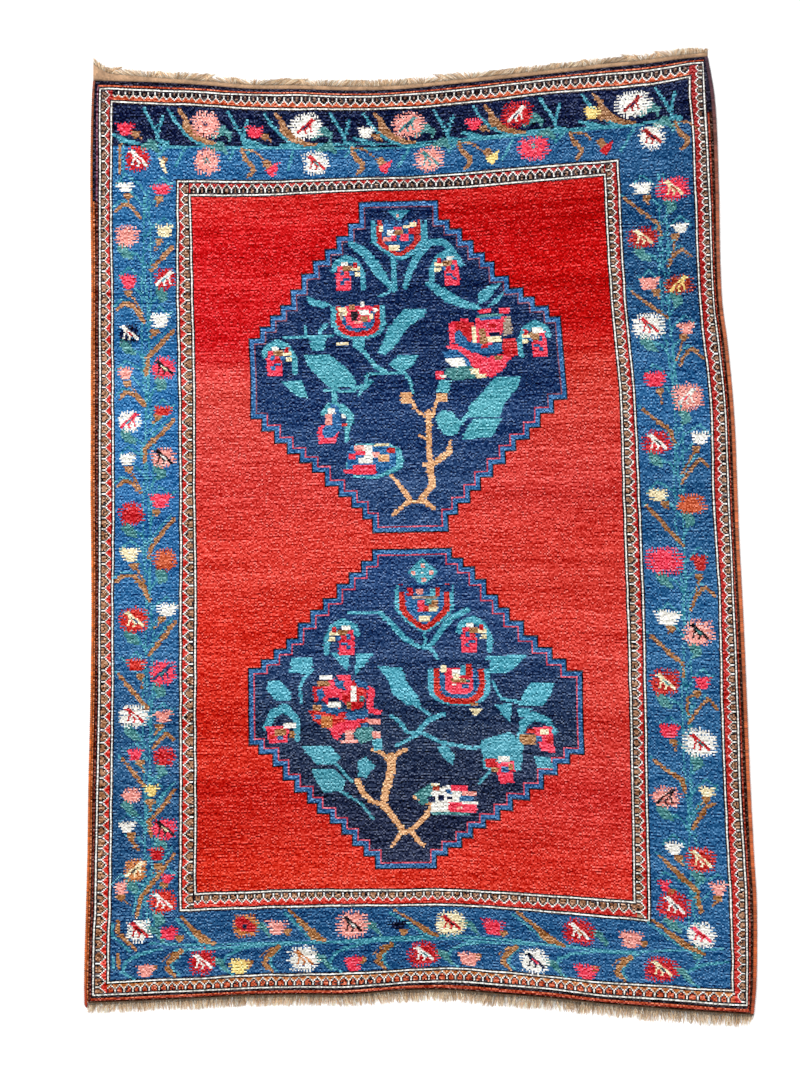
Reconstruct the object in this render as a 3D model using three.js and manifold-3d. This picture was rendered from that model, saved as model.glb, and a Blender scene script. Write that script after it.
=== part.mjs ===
// Caucasian rug: a hand-knotted wool pile rug of the Karabagh kind, lying flat.
// Millimetres, +X across the rug, +Y along its length, +Z up. The underside lies on z = 0, and
// the middle of the rug's box is at x = 0, y = 0.
//
// The pieces are those of the weaver: the knotted body, the overcast selvedge along each side,
// and at each end the narrow web with the warp ends that leave it as fringe.

import * as THREE from "three";
import { mergeVertices } from "three/addons/utils/BufferGeometryUtils.js";
import Module from "manifold-3d";

const wasm = await Module();
wasm.setup();

// Driving dimensions

const PILE_THICKNESS = 7.6;      // foundation and clipped pile together
const PILE_SWELL = { rise: 0.5, across: 600, along: 880 };  // height and lengths of its waves
const EDGE_INSET = 1.6;          // the pile leans in by this much at its upper edge
const FOOT_INSET = 0.8;          // and the foundation at its lower edge
const EDGE_LEVEL = 3.2;          // height at which the body is widest
const PILE_STEPS = { across: 26, along: 38 };

const GAP = 0.3;                 // between neighbouring pieces
const LEFT_SELVEDGE = { width: 5.6, height: 6.4 };
const RIGHT_SELVEDGE = { width: 8.4, height: 7.0 };
const SELVEDGE_SIDES = 8;
const SELVEDGE_STEPS = 44;

const WEB_THICKNESS = 3.0;
const TOP_WEB = 10.0;            // width of the woven strip past the pile at the upper end
const BOTTOM_WEB = 5.0;
const WEB_STEPS = 40;

const LOCKS_PER_END = 140;       // bundles of warp ends
const LOCK_ROOT = { width: 5.4, height: 2.6 };
const LOCK_TIP = { width: 3.0, height: 1.7 };
const LOCK_BITE = 2.0;           // how far a lock's root runs into the web
const TOP_LOCK = { length: 13.0, vary: 2.4, lean: 0.35 };    // lean: sideways per length
const BOTTOM_LOCK = { length: 21.0, vary: 4.0, lean: 0.18 };
const CORNER_LOCK = { length: 26.0, vary: 0, lean: -0.1 };   // at the upper left corner

// The rug's outer sides, selvedges included: x of each at a height y. The left side is nearly
// straight, and the right side spreads towards the lower end, as the weaving did.

const SIDES = [
  { y: 1090, left: -736, right: 647 },
  { y: 980, left: -743, right: 664 },
  { y: 800, left: -745, right: 671 },
  { y: 620, left: -742, right: 673 },
  { y: 520, left: -741, right: 677 },
  { y: 420, left: -741, right: 689 },
  { y: 260, left: -740, right: 702 },
  { y: 80, left: -739, right: 708 },
  { y: -20, left: -737, right: 711 },
  { y: -200, left: -735, right: 719 },
  { y: -380, left: -736, right: 725 },
  { y: -560, left: -739, right: 731 },
  { y: -720, left: -740, right: 738 },
  { y: -820, left: -742, right: 743 },
  { y: -990, left: -745, right: 741 },
  { y: -1070, left: -743, right: 734 },
];

// The ends of the knotted body: y of the upper and the lower edge at a place x across.

const ENDS = [
  { x: -740, upper: 1017, lower: -1036 },
  { x: -610, upper: 1015, lower: -1031 },
  { x: -500, upper: 1012, lower: -1026 },
  { x: -385, upper: 1005, lower: -1020 },
  { x: -270, upper: 1004, lower: -1018 },
  { x: -160, upper: 1001, lower: -1018 },
  { x: -45, upper: 1004, lower: -1009 },
  { x: 65, upper: 1015, lower: -1008 },
  { x: 180, upper: 1027, lower: -1017 },
  { x: 290, upper: 1039, lower: -1026 },
  { x: 405, upper: 1052, lower: -1038 },
  { x: 515, upper: 1063, lower: -1047 },
  { x: 605, upper: 1075, lower: -1054 },
  { x: 740, upper: 1086, lower: -1062 },
];

// A smooth line through one column of a table: a cubic between two rows, whose slope at each
// row is that of the chord between the row's neighbours.
function lineThrough(table, at, column) {
  const rows = table.toSorted((a, b) => a[at] - b[at]);
  const last = rows.length - 1;
  const slopes = rows.map((row, i) => {
    const before = rows[Math.max(i - 1, 0)];
    const after = rows[Math.min(i + 1, last)];
    return (after[column] - before[column]) / (after[at] - before[at]);
  });
  return (place) => {
    const where = THREE.MathUtils.clamp(place, rows[0][at], rows[last][at]);
    const i = Math.min(Math.max(rows.findIndex((row) => row[at] >= where) - 1, 0), last - 1);
    const span = rows[i + 1][at] - rows[i][at];
    const t = (where - rows[i][at]) / span;
    const rest = 1 - t;
    return (
      rows[i][column] * (1 + 2 * t) * rest * rest +
      rows[i + 1][column] * (3 - 2 * t) * t * t +
      slopes[i] * span * t * rest * rest -
      slopes[i + 1] * span * t * t * rest
    );
  };
}

const leftSide = lineThrough(SIDES, "y", "left");
const rightSide = lineThrough(SIDES, "y", "right");
const upperEnd = lineThrough(ENDS, "x", "upper");
const lowerEnd = lineThrough(ENDS, "x", "lower");

const bodyLeft = (y) => leftSide(y) + LEFT_SELVEDGE.width + GAP;
const bodyRight = (y) => rightSide(y) - RIGHT_SELVEDGE.width - GAP;

// The point that lies the share across between the body's sides, and the share along from its
// lower to its upper end. Each depends on the other, so the place is found in a few turns.
function onBody(across, along) {
  const point = new THREE.Vector2(0, THREE.MathUtils.lerp(lowerEnd(0), upperEnd(0), along));
  for (let turn = 0; turn < 6; turn += 1) {
    point.x = THREE.MathUtils.lerp(bodyLeft(point.y), bodyRight(point.y), across);
    point.y = THREE.MathUtils.lerp(lowerEnd(point.x), upperEnd(point.x), along);
  }
  return point;
}

// A steady pseudo-random number from 0 to 1 for the n-th lock.
function chance(n, salt) {
  const value = Math.sin(n * 12.9898 + salt * 78.233) * 43758.5453;
  return value - Math.floor(value);
}

// Moves every vertex of a unit block, whose shares run from 0 to 1, to the place that a
// function gives.
function shaped(steps, place) {
  const geometry = new THREE.BoxGeometry(1, 1, 1, steps.across, steps.along, steps.up);
  geometry.deleteAttribute("normal");
  geometry.deleteAttribute("uv");
  const merged = mergeVertices(geometry, 1e-5);
  const positions = merged.getAttribute("position");
  const share = new THREE.Vector3();
  for (let i = 0; i < positions.count; i += 1) {
    share.fromBufferAttribute(positions, i).addScalar(0.5);
    positions.setXYZ(i, ...place(share.x, share.y, share.z));
  }
  return merged;
}

function solidOf(geometry) {
  return new wasm.Manifold(
    new wasm.Mesh({
      numProp: 3,
      vertProperties: new Float32Array(geometry.getAttribute("position").array),
      triVerts: new Uint32Array(geometry.index.array),
    }),
  );
}

function geometryOf(solid) {
  const mesh = solid.getMesh();
  const geometry = new THREE.BufferGeometry();
  geometry.setAttribute("position", new THREE.BufferAttribute(mesh.vertProperties, 3));
  geometry.setIndex(new THREE.BufferAttribute(mesh.triVerts, 1));
  geometry.computeVertexNormals();
  return geometry;
}

// The knotted body: a flat sheet, widest a little above the floor, whose pile leans in at the
// edges and rises and falls gently as hand clipping leaves it.
function knottedBody() {
  const levels = [
    { height: 0, inset: FOOT_INSET },
    { height: EDGE_LEVEL, inset: 0 },
    { height: PILE_THICKNESS, inset: EDGE_INSET },
  ];
  return shaped({ ...PILE_STEPS, up: levels.length - 1 }, (across, along, up) => {
    const level = Math.round(up * (levels.length - 1));
    const { height, inset } = levels[level];
    const point = onBody(across, along);
    const side = Math.round(2 * across - 1) * Number(across === 0 || across === 1);
    const end = Math.round(2 * along - 1) * Number(along === 0 || along === 1);
    const wave = (place, length) => Math.sin((2 * Math.PI * place) / length + 1);
    const swell = wave(point.x, PILE_SWELL.across) * wave(point.y, PILE_SWELL.along);
    const rise = level === levels.length - 1 ? PILE_SWELL.rise * swell : 0;
    return [point.x - side * inset, point.y - end * inset, height + rise];
  });
}

// A selvedge: the edge warps overcast with wool, a flattened cord that follows the side from
// the body's lower corner to its upper one. inward is 1 on the left side and -1 on the right.
function selvedge(size, outerSide, inward) {
  const corner = inward > 0 ? 0 : 1;
  const lowest = onBody(corner, 0).y;
  const highest = onBody(corner, 1).y;
  const cord = new THREE.CylinderGeometry(1, 1, 1, SELVEDGE_SIDES, SELVEDGE_STEPS);
  cord.deleteAttribute("normal");
  cord.deleteAttribute("uv");
  const merged = mergeVertices(cord, 1e-5);
  const positions = merged.getAttribute("position");
  const turn = new THREE.Vector3();
  for (let i = 0; i < positions.count; i += 1) {
    turn.fromBufferAttribute(positions, i);
    const y = THREE.MathUtils.lerp(lowest, highest, turn.y + 0.5);
    const x = outerSide(y) + ((inward + turn.x) * size.width) / 2;
    const z = ((1 + turn.z) * size.height) / 2;
    positions.setXYZ(i, x, y, z);
  }
  return merged;
}

// One end of the rug: the narrow web with its locks of warp ends. outward is 1 at the upper
// end and -1 at the lower.
function fringedWeb(edge, outward, webWidth, lock) {
  const start = (x) => edge(x) + outward * GAP;
  const level = edge(0);
  const outermost = (side) => {
    const y = edge(side(level));
    return side(edge(side(y)));
  };
  const left = outermost(leftSide);
  const right = outermost(rightSide);
  const strip = shaped({ across: WEB_STEPS, along: 1, up: 1 }, (across, along, up) => {
    const x = THREE.MathUtils.lerp(left, right, across);
    const out = outward > 0 ? along : 1 - along;
    return [x, start(x) + outward * webWidth * out, up * WEB_THICKNESS];
  });

  let web = solidOf(strip);
  const pitch = (right - left) / LOCKS_PER_END;
  for (let n = 0; n < LOCKS_PER_END; n += 1) {
    const { length: usual, vary, lean } = outward > 0 && n === 0 ? CORNER_LOCK : lock;
    const length = usual + vary * (2 * chance(n, outward) - 1);
    const rootX = left + pitch * (n + 0.5);
    const rootY = start(rootX) + outward * (webWidth - LOCK_BITE);
    const tipX = rootX + lean * length * (0.5 + chance(n, 2 * outward));
    const tipY = start(rootX) + outward * (webWidth + length);
    const bundle = shaped({ across: 1, along: 1, up: 1 }, (across, along, up) => {
      const out = outward > 0 ? along : 1 - along;
      const width = THREE.MathUtils.lerp(LOCK_ROOT.width, LOCK_TIP.width, out);
      const height = THREE.MathUtils.lerp(LOCK_ROOT.height, LOCK_TIP.height, out);
      const x = THREE.MathUtils.lerp(rootX, tipX, out) + (across - 0.5) * width;
      const y = THREE.MathUtils.lerp(rootY, tipY, out);
      return [x, y, up * height];
    });
    web = web.add(solidOf(bundle));
  }
  return geometryOf(web);
}

const wool = (colour) => new THREE.MeshStandardMaterial({ color: colour, roughness: 0.92, metalness: 0 });

const PIECES = [
  { name: "pile_rug", geometry: knottedBody(), material: wool(0xb5382f) },
  {
    name: "selvedge_left",
    geometry: selvedge(LEFT_SELVEDGE, leftSide, 1),
    material: wool(0xb8682f),
  },
  {
    name: "selvedge_right",
    geometry: selvedge(RIGHT_SELVEDGE, rightSide, -1),
    material: wool(0xa2502a),
  },
  { name: "fringe_top", geometry: fringedWeb(upperEnd, 1, TOP_WEB, TOP_LOCK), material: wool(0xd6b79c) },
  {
    name: "fringe_bottom",
    geometry: fringedWeb(lowerEnd, -1, BOTTOM_WEB, BOTTOM_LOCK),
    material: wool(0xdcc7a4),
  },
];

const rug = new THREE.Group();
for (const { name, geometry, material } of PIECES) {
  const piece = new THREE.Mesh(geometry, material);
  piece.name = name;
  rug.add(piece);
}

// The middle of the whole rug's box comes to x = 0, y = 0.
const middle = new THREE.Box3().setFromObject(rug).getCenter(new THREE.Vector3());
rug.position.set(-middle.x, -middle.y, 0);

export default rug;
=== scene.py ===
"""Caucasian rug: a hand-knotted wool pile rug of the Karabagh kind, lying flat.

The pattern is drawn knot by knot on a chart of 462 by 647 knots, as a weaver's cartoon is. Each
knot of the chart is one face of the pile. Lengths in the tables are millimetres, as in the
rug's own drawing, and the meshes are in metres.
"""

import math

import bpy
import numpy as np
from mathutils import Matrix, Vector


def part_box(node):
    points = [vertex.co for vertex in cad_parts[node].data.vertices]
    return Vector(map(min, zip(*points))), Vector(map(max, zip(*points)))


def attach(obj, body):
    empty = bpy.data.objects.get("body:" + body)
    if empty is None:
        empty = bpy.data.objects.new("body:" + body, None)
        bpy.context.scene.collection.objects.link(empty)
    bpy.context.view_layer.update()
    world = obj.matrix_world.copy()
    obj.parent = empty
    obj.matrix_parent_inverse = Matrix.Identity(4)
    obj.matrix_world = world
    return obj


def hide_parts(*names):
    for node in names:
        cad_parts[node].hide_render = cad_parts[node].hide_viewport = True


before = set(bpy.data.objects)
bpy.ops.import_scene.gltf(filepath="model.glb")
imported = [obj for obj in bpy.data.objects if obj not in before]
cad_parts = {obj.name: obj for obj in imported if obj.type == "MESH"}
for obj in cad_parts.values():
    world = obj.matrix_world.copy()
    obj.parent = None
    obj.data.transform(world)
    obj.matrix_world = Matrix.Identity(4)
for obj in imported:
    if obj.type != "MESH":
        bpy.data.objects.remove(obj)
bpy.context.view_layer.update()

MM = 0.001                         # metres
COLUMNS, ROWS = 462, 647           # knots across and along

# Heights, as in the solids
FOUNDATION = 3.2                   # the woven back, up to where the body is widest
PILE_TOP = 7.6
SWELL = {"rise": 0.5, "across": 600, "along": 880}
FOOT_INSET = 0.8
GAP = 0.3
LEFT_CORD = {"width": 5.6, "height": 6.4}
RIGHT_CORD = {"width": 8.4, "height": 7.0}


# The outline

# Height y, and x of the rug's left and right side there, selvedges included
SIDES = np.array([
    (1090, -736, 647), (980, -743, 664), (800, -745, 671), (620, -742, 673),
    (520, -741, 677), (420, -741, 689), (260, -740, 702), (80, -739, 708),
    (-20, -737, 711), (-200, -735, 719), (-380, -736, 725), (-560, -739, 731),
    (-720, -740, 738), (-820, -742, 743), (-990, -745, 741), (-1070, -743, 734),
], float)

# Place x, and y of the knotted body's upper and lower end there
ENDS = np.array([
    (-740, 1023, -1036), (-610, 1020, -1031), (-500, 1014, -1026), (-385, 1005, -1020),
    (-270, 1004, -1018), (-160, 1001, -1018), (-45, 1004, -1009), (65, 1015, -1008),
    (180, 1027, -1017), (290, 1039, -1026), (405, 1052, -1038), (515, 1063, -1047),
    (605, 1075, -1054), (740, 1086, -1062),
], float)

# The weaving wandered, so the guards' white lines aren't straight. For each line: its column,
# and its x at these heights.
LINE_HEIGHTS = [985, 930, 860, 751, 524, 299, 75, -149, -371, -592, -812, -930, -1000]
UPRIGHT_LINES = {
    4.5: [-724, -724, -723, -722, -721, -719, -718, -717, -716, -719, -721, -725, -725],
    14.5: [-698, -698, -698, -698, -694, -691, -688, -688, -687, -688, -689, -692, -692],
    63.5: [-547, -547, -547, -547, -546, -540, -537, -536, -535, -533, -533, -533, -533],
    73.5: [-520, -520, -520, -520, -514, -508, -507, -503, -503, -501, -501, -501, -501],
    382.5: [414, 414, 414, 417, 429, 448, 454, 461, 466, 470, 472, 473, 473],
    392.5: [443, 443, 443, 447, 458, 478, 487, 495, 498, 501, 504, 505, 505],
    446.5: [607, 612, 616, 619, 627, 649, 654, 666, 669, 675, 685, 688, 688],
    456.5: [636, 638, 643, 647, 655, 677, 685, 693, 700, 705, 716, 717, 717],
}

# The same for the lines that run across: the row of each, and its y at these places.
LINE_PLACES = [-700, -610, -498, -385, -272, -160, -47, 66, 179, 291, 404, 517, 607, 690]
LEVEL_LINES = {
    5.5: [1004, 1000, 996, 990, 990, 986, 990, 999, 1012, 1025, 1036, 1046, 1061, 1066],
    15.5: [975, 971, 967, 959, 958, 958, 960, 969, 981, 995, 1004, 1015, 1031, 1038],
    66.5: [793, 793, 793, 792, 794, 799, 801, 808, 819, 828, 837, 847, 857, 865],
    75.5: [762, 762, 762, 762, 767, 773, 776, 779, 788, 798, 808, 817, 826, 834],
    573.5: [-805, -803, -799, -795, -791, -791, -790, -790, -796, -804, -812, -822, -830, -836],
    584.5: [-838, -836, -833, -829, -826, -824, -823, -822, -829, -838, -848, -858, -866, -874],
    632.5: [-994, -988, -985, -977, -975, -973, -967, -962, -970, -980, -993, -999, -1006, -1010],
    641.5: [
        -1020, -1015, -1011, -1005, -1002, -1002, -994, -990, -998, -1007, -1021, -1028, -1035, -1042,
    ],
}

PLACE_TURNS = 6                    # for a place on the chart to settle to far less than a knot


def smooth(places, values, at):
    """A smooth line through a table: a cubic between two rows, whose slope at each row is that
    of the chord between the row's neighbours. Past its ends it keeps the end's value."""
    places, values = np.asarray(places, float), np.asarray(values, float)
    if places[0] > places[-1]:
        places, values = places[::-1], values[::-1]
    last = len(places) - 1
    before, after = np.maximum(np.arange(last + 1) - 1, 0), np.minimum(np.arange(last + 1) + 1, last)
    slopes = (values[after] - values[before]) / (places[after] - places[before])
    at = np.clip(at, places[0], places[-1])
    i = np.clip(np.searchsorted(places, at, "left") - 1, 0, last - 1)
    span = places[i + 1] - places[i]
    t = (at - places[i]) / span
    rest = 1 - t
    return (
        values[i] * (1 + 2 * t) * rest * rest + values[i + 1] * (3 - 2 * t) * t * t
        + slopes[i] * span * t * rest * rest - slopes[i + 1] * span * t * t * rest
    )


# The rug's sides and the knotted body's ends, as smooth lines

def left_side(y):
    return smooth(SIDES[:, 0], SIDES[:, 1], y)


def right_side(y):
    return smooth(SIDES[:, 0], SIDES[:, 2], y)


def upper_end(x):
    return smooth(ENDS[:, 0], ENDS[:, 1], x)


def lower_end(x):
    return smooth(ENDS[:, 0], ENDS[:, 2], x)


def between(counts, lines, at):
    """Straight interpolation at a count between lines that each have a value at every point."""
    counts, lines = np.array(counts), np.stack(lines)
    i = np.clip(np.searchsorted(counts, at, "right") - 1, 0, len(counts) - 2)
    share = (at - counts[i]) / (counts[i + 1] - counts[i])
    low = np.take_along_axis(lines, i[None], 0)[0]
    high = np.take_along_axis(lines, i[None] + 1, 0)[0]
    return low + (high - low) * share


def place(column, row):
    """x and y, in millimetres, of places on the chart. x depends on the height y and y on x, so
    both are found in a few turns, each from the last of the other."""
    column, row = np.broadcast_arrays(np.asarray(column, float), np.asarray(row, float))
    x = left_side(0) + (right_side(0) - left_side(0)) * column / COLUMNS
    y = upper_end(0) + (lower_end(0) - upper_end(0)) * row / ROWS
    for _ in range(PLACE_TURNS):
        body_left = left_side(y) + LEFT_CORD["width"] + GAP
        body_right = right_side(y) - RIGHT_CORD["width"] - GAP
        guides = [smooth(LINE_HEIGHTS, line_x, y) for line_x in UPRIGHT_LINES.values()]
        x = between([0, *UPRIGHT_LINES, COLUMNS], [body_left, *guides, body_right], column)
        guides = [smooth(LINE_PLACES, line_y, x) for line_y in LEVEL_LINES.values()]
        y = between([0, *LEVEL_LINES, ROWS], [upper_end(x), *guides, lower_end(x)], row)
    return x, y


# The one source of chance. Everything uneven draws from it, in the order of this file.
chance = np.random.default_rng(20)


def drift(shape, cells):
    """Smooth unevenness of about -1 to 1: random values on a coarse grid of cells, eased from
    each value to the next along both ways."""
    values = chance.uniform(-1, 1, (cells[0] + 1, cells[1] + 1))
    for axis in (0, 1):
        at = np.linspace(0, cells[axis], shape[axis])
        low = np.minimum(at.astype(int), cells[axis] - 1)
        t = at - low
        t = t * t * (3 - 2 * t)
        spread = [-1, 1] if axis == 0 else [1, -1]
        below, above = np.take(values, low, axis), np.take(values, low + 1, axis)
        values = below + (above - below) * t.reshape(spread)
    return values


# The chart, and the dye of each of its knots

# Red, green and blue of each dye, from 0 to 255 as seen on a screen
DYES = {
    "black": (26, 18, 24),
    "white": (230, 227, 218),
    "cream": (230, 214, 174),
    "yellow": (232, 202, 124),
    "ink": (20, 18, 36),
    "navy": (6, 16, 50),
    "night": (28, 44, 96),
    "blue": (38, 98, 160),
    "sky": (58, 126, 186),
    "aqua": (82, 168, 180),
    "teal": (62, 134, 152),
    "sage": (70, 126, 128),
    "red": (204, 42, 36),
    "brick": (188, 84, 52),
    "field": (208, 48, 42),
    "scarlet": (180, 28, 34),
    "magenta": (224, 58, 80),
    "pink": (228, 148, 138),
    "rose": (186, 66, 84),
    "plum": (118, 68, 86),
    "tan": (158, 108, 68),
    "fawn": (150, 108, 80),
    "camel": (210, 158, 114),
    "ochre": (184, 112, 62),
    "orange": (172, 90, 46),
    "stone": (150, 132, 118),
    "rust": (150, 52, 34),
    "bark": (50, 24, 14),
    "russet": (96, 34, 24),
}
INK = {name: number for number, name in enumerate(DYES)}

chart = np.full((ROWS, COLUMNS), INK["field"], np.uint8)


def window(left, top, right, bottom):
    """The knots of the chart that a box touches: their slices and the middles of their cells."""
    first_col, last_col = max(int(np.floor(left)), 0), min(int(np.ceil(right)), COLUMNS)
    first_row, last_row = max(int(np.floor(top)), 0), min(int(np.ceil(bottom)), ROWS)
    col, row = np.meshgrid(np.arange(first_col, last_col), np.arange(first_row, last_row))
    return (slice(first_row, last_row), slice(first_col, last_col)), col, row


def block(left, top, right, bottom, ink):
    """Every knot from column left to before right and from row top to before bottom."""
    chart[max(top, 0):bottom, max(left, 0):right] = INK[ink]


def bars(*blocks):
    """Several blocks of knots, each by its left column, top row, width, height and ink."""
    for left, top, wide, high, ink in blocks:
        block(left, top, left + wide, top + high, ink)


def patch(points, ink):
    """A closed outline of straight sides. A knot is inside where a line to its right crosses
    the outline an odd number of times."""
    corners = np.array(points, float)
    cells, col, row = window(*corners.min(0), *corners.max(0))
    x, y = col + 0.5, row + 0.5
    inside = np.zeros(x.shape, bool)
    for (x0, y0), (x1, y1) in zip(corners, np.roll(corners, -1, axis=0)):
        if y0 != y1:
            inside ^= ((y0 > y) != (y1 > y)) & (x < x0 + (y - y0) * (x1 - x0) / (y1 - y0))
    chart[cells][inside] = INK[ink]


def ribbon(points, ink):
    """A line through (column, row, width) points: every knot nearer to a stretch than half the
    width there, which changes evenly from one end of the stretch to the other."""
    for (x0, y0, w0), (x1, y1, w1) in zip(points[:-1], points[1:]):
        wide = max(w0, w1) / 2 + 1
        left, right = min(x0, x1) - wide, max(x0, x1) + wide
        upper, lower = min(y0, y1) - wide, max(y0, y1) + wide
        cells, col, row = window(left, upper, right, lower)
        x, y = col + 0.5 - x0, row + 0.5 - y0
        long = (x1 - x0) ** 2 + (y1 - y0) ** 2
        share = np.clip((x * (x1 - x0) + y * (y1 - y0)) / max(long, 1e-6), 0, 1)
        off = np.hypot(x - share * (x1 - x0), y - share * (y1 - y0))
        chart[cells][off < (w0 + (w1 - w0) * share) / 2] = INK[ink]


def line(width, ink, *points):
    """A ribbon of one width."""
    ribbon([(x, y, width) for x, y in points], ink)


def vines(ink, *paths):
    """Several stems in one ink. Each has (column, row, width) points, or one width first and then
    (column, row) points."""
    for path in paths:
        if isinstance(path, tuple):
            line(path[0], ink, *path[1:])
        else:
            ribbon(path, ink)


def stitch(motif, left, top, inks, mirrored=False):
    """A motif charted one letter to a knot. inks says which dye each letter is."""
    for down, letters in enumerate(motif):
        for along, letter in enumerate(letters[::-1] if mirrored else letters):
            if letter in inks:
                chart[top + down, left + along] = INK[inks[letter]]


def around(col, row, wide, high, margin=1):
    """The knots of a box about its middle, and each knot's place in it, -1 to 1 both ways."""
    across, along = wide / 2, high / 2
    cells, c, r = window(
        col - across - margin, row - along - margin, col + across + margin, row + along + margin,
    )
    return cells, c, r, (c + 0.5 - col) / across, (r + 0.5 - row) / along


def ragged(sides, shape, short, long, uneven):
    """How far petals reach, for each row or column of a flower: long and short by turns, with a
    list for each side."""
    count = max(shape) + 2
    return np.where(np.arange(count) % 2, short, long) + uneven * chance.uniform(-1, 1, (sides, count))


def bloom(col, row, wide, high, petal):
    """A many-petalled flower head: a rounded box, |x|^2.4 + |y|^2.4 < s^2.4, whose reach s is
    long and short by turns, from row to row at its sides and from column to column above and
    below. Between its middle and its rim single knots of the ground show, two apart, mostly
    in the upper half."""
    cells, c, r, x, y = around(col, row, wide, high)
    measure = (np.abs(x) ** 2.4 + np.abs(y) ** 2.4) ** (1 / 2.4)
    reach = ragged(4, c.shape, 0.76, 0.97, 0.10)
    at_side = np.where(x > 0, reach[0][r - r.min()], reach[1][r - r.min()])
    at_end = np.where(y > 0, reach[2][c - c.min()], reach[3][c - c.min()])
    inside = measure < np.where(np.abs(x) > np.abs(y), at_side, at_end)
    thin = chance.uniform(size=c.shape) < np.where(y < 0.1, 0.5, 0.125)
    hole = (measure > 0.5) & (r % 2 == 0) & ((c + r // 2) % 2 == 0) & thin
    chart[cells][inside & ~hole] = INK[petal]


def sprig(col, row, wide, high, petal):
    """A small half-open flower: a ragged fan, wider above, of uneven knots."""
    cells, c, r, x, y = around(col, row, wide, high)
    reach = ragged(3, c.shape, 0.72, 1.0, 0.16)
    spread = np.clip(0.95 - 0.35 * y, 0, 1.2)
    sides = np.abs(x) < spread * np.where(x > 0, reach[0][r - r.min()], reach[1][r - r.min()])
    upper = y > -reach[2][c - c.min()]
    chart[cells][sides & upper & (y < 0.9)] = INK[petal]


# A small bird that stands in a flower, b its body and i its wing
BIRD = [
    "..bb..........",
    "bbbbb.........",
    "..bbbb........",
    "...bbbb.......",
    "...bbibb......",
    "....bbiibb....",
    "...bb.biibb...",
    "...b..bbiibb..",
    "...b...bb.bbb.",
    "..bb...b...bbb",
    "......bb....bb",
]

# Seeds strewn in the heart of a few flowers
SEEDS = [
    "..s..",
    "s.ss.",
    ".s.s.",
    ".ss.s",
    "..s..",
]

# Corners of a bud's calyx, from its middle
CALYX = [(-3.4, -2.4), (3.4, -2.4), (3.0, 0.6), (0, 3.6), (-2.4, 1.6)]

perches = []                       # column, row, bird, wing and whether it is mirrored


def flower(col, row, wide, high, petal, bird=None, wing=None, faces="left"):
    """A large flower of the border. The bird that stands in most of them comes on last, over
    the uneven knotting."""
    bloom(col, row, wide, high, petal)
    if bird:
        perches.append((col - 7, row - 6, bird, wing, faces == "right"))


def bud(col, row, wide, high, petal, calyx, stalk=()):
    """A small flower of the border: its head, the calyx at an offset and a thin stalk."""
    over, down = calyx
    if stalk:
        line(1.4, "tan", (col + over, row + down), *stalk)
    patch([(col + over + x, row + down + y) for x, y in CALYX], "tan")
    sprig(col, row, wide, high, petal)


# Guards: rows of arrowheads between white lines

# An arrowhead: the knots before it narrows, how far its white rim and its dark edge lie from its
# drawn line, and the share of dark specks in it
HEAD = {"body": 3, "rim": 0.75, "dark": -0.25, "specks": 0.15}


def arrowheads(side, low, high, first, last, stands_on, ground, head, pitches, edge):
    """Arrowheads side by side between two lines, on the one that they stand on. Each keeps its
    width for three knots and then narrows by a knot a side to its tip. It has a dark edge, so
    many knots thick, and a white rim. pitches are the knots from one head to the next, at
    places equally far apart along the row of heads."""
    toward = 1 if stands_on == low else -1
    if side == "upright":
        cells, col, row = window(low + 1, first, high, last)
        depth, along = toward * (col - stands_on) - 1, row
    else:
        cells, col, row = window(first, low + 1, last, high)
        depth, along = toward * (row - stands_on) - 1, col
    places = np.linspace(first, last, len(pitches))
    starts = [float(first)]
    while starts[-1] < last:
        starts.append(starts[-1] + np.interp(starts[-1], places, pitches))
    starts = np.round(starts).astype(int)
    which = np.searchsorted(starts, along, "right") - 1
    half = (np.diff(starts, append=starts[-1] + 6)[which] - 1) / 2
    out = np.abs(along + 0.5 - starts[which] - half)
    past = out - (half - np.clip(depth - HEAD["body"], 0, None))
    picture = np.full(out.shape, INK[ground], np.uint8)
    picture[past < HEAD["rim"]] = INK["white"]
    picture[past < HEAD["dark"]] = INK["black"]
    picture[(past < HEAD["dark"] - edge) & (depth > 0)] = INK[head]
    picture[(past < -1) & (chance.uniform(size=out.shape) < HEAD["specks"])] = INK["black"]
    chart[cells] = picture


def outline(left, top, right, bottom):
    """A white line round a rectangle, with a dark knot on each side of it."""
    for grow, ink in ((1, "black"), (-1, "black"), (0, "white")):
        for edge in (
            (left - grow, top - grow, right + 1 + grow, top + 1 - grow),
            (left - grow, bottom + grow, right + 1 + grow, bottom + 1 + grow),
            (left - grow, top - grow, left + 1 - grow, bottom + 1 + grow),
            (right + grow, top - grow, right + 1 + grow, bottom + 1 + grow),
        ):
            block(*edge, ink)


# Columns and rows of the white lines of both guards
OUTER = {"left": 4, "top": 5, "right": 457, "bottom": 641}
BORDER = {"left": 14, "top": 15, "right": 446, "bottom": 632}
INNER = {"left": 63, "top": 66, "right": 392, "bottom": 584}
FIELD = {"left": 73, "top": 75, "right": 382, "bottom": 573}
BAND_ROW = 44                      # where the upper border turns from navy to blue

# Lines of the outermost edges: left column, width, first row and dye
EDGE_LINES = [
    (0, 3, 0, "ink"), (2, 1, 3, "plum"), (0, 1, 80, "orange"), (1, 1, 80, "bark"), (2, 1, 80, "russet"),
    (458, 4, 0, "ink"), (458, 2, 40, "rust"), (460, 2, 40, "bark"),
]

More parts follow.
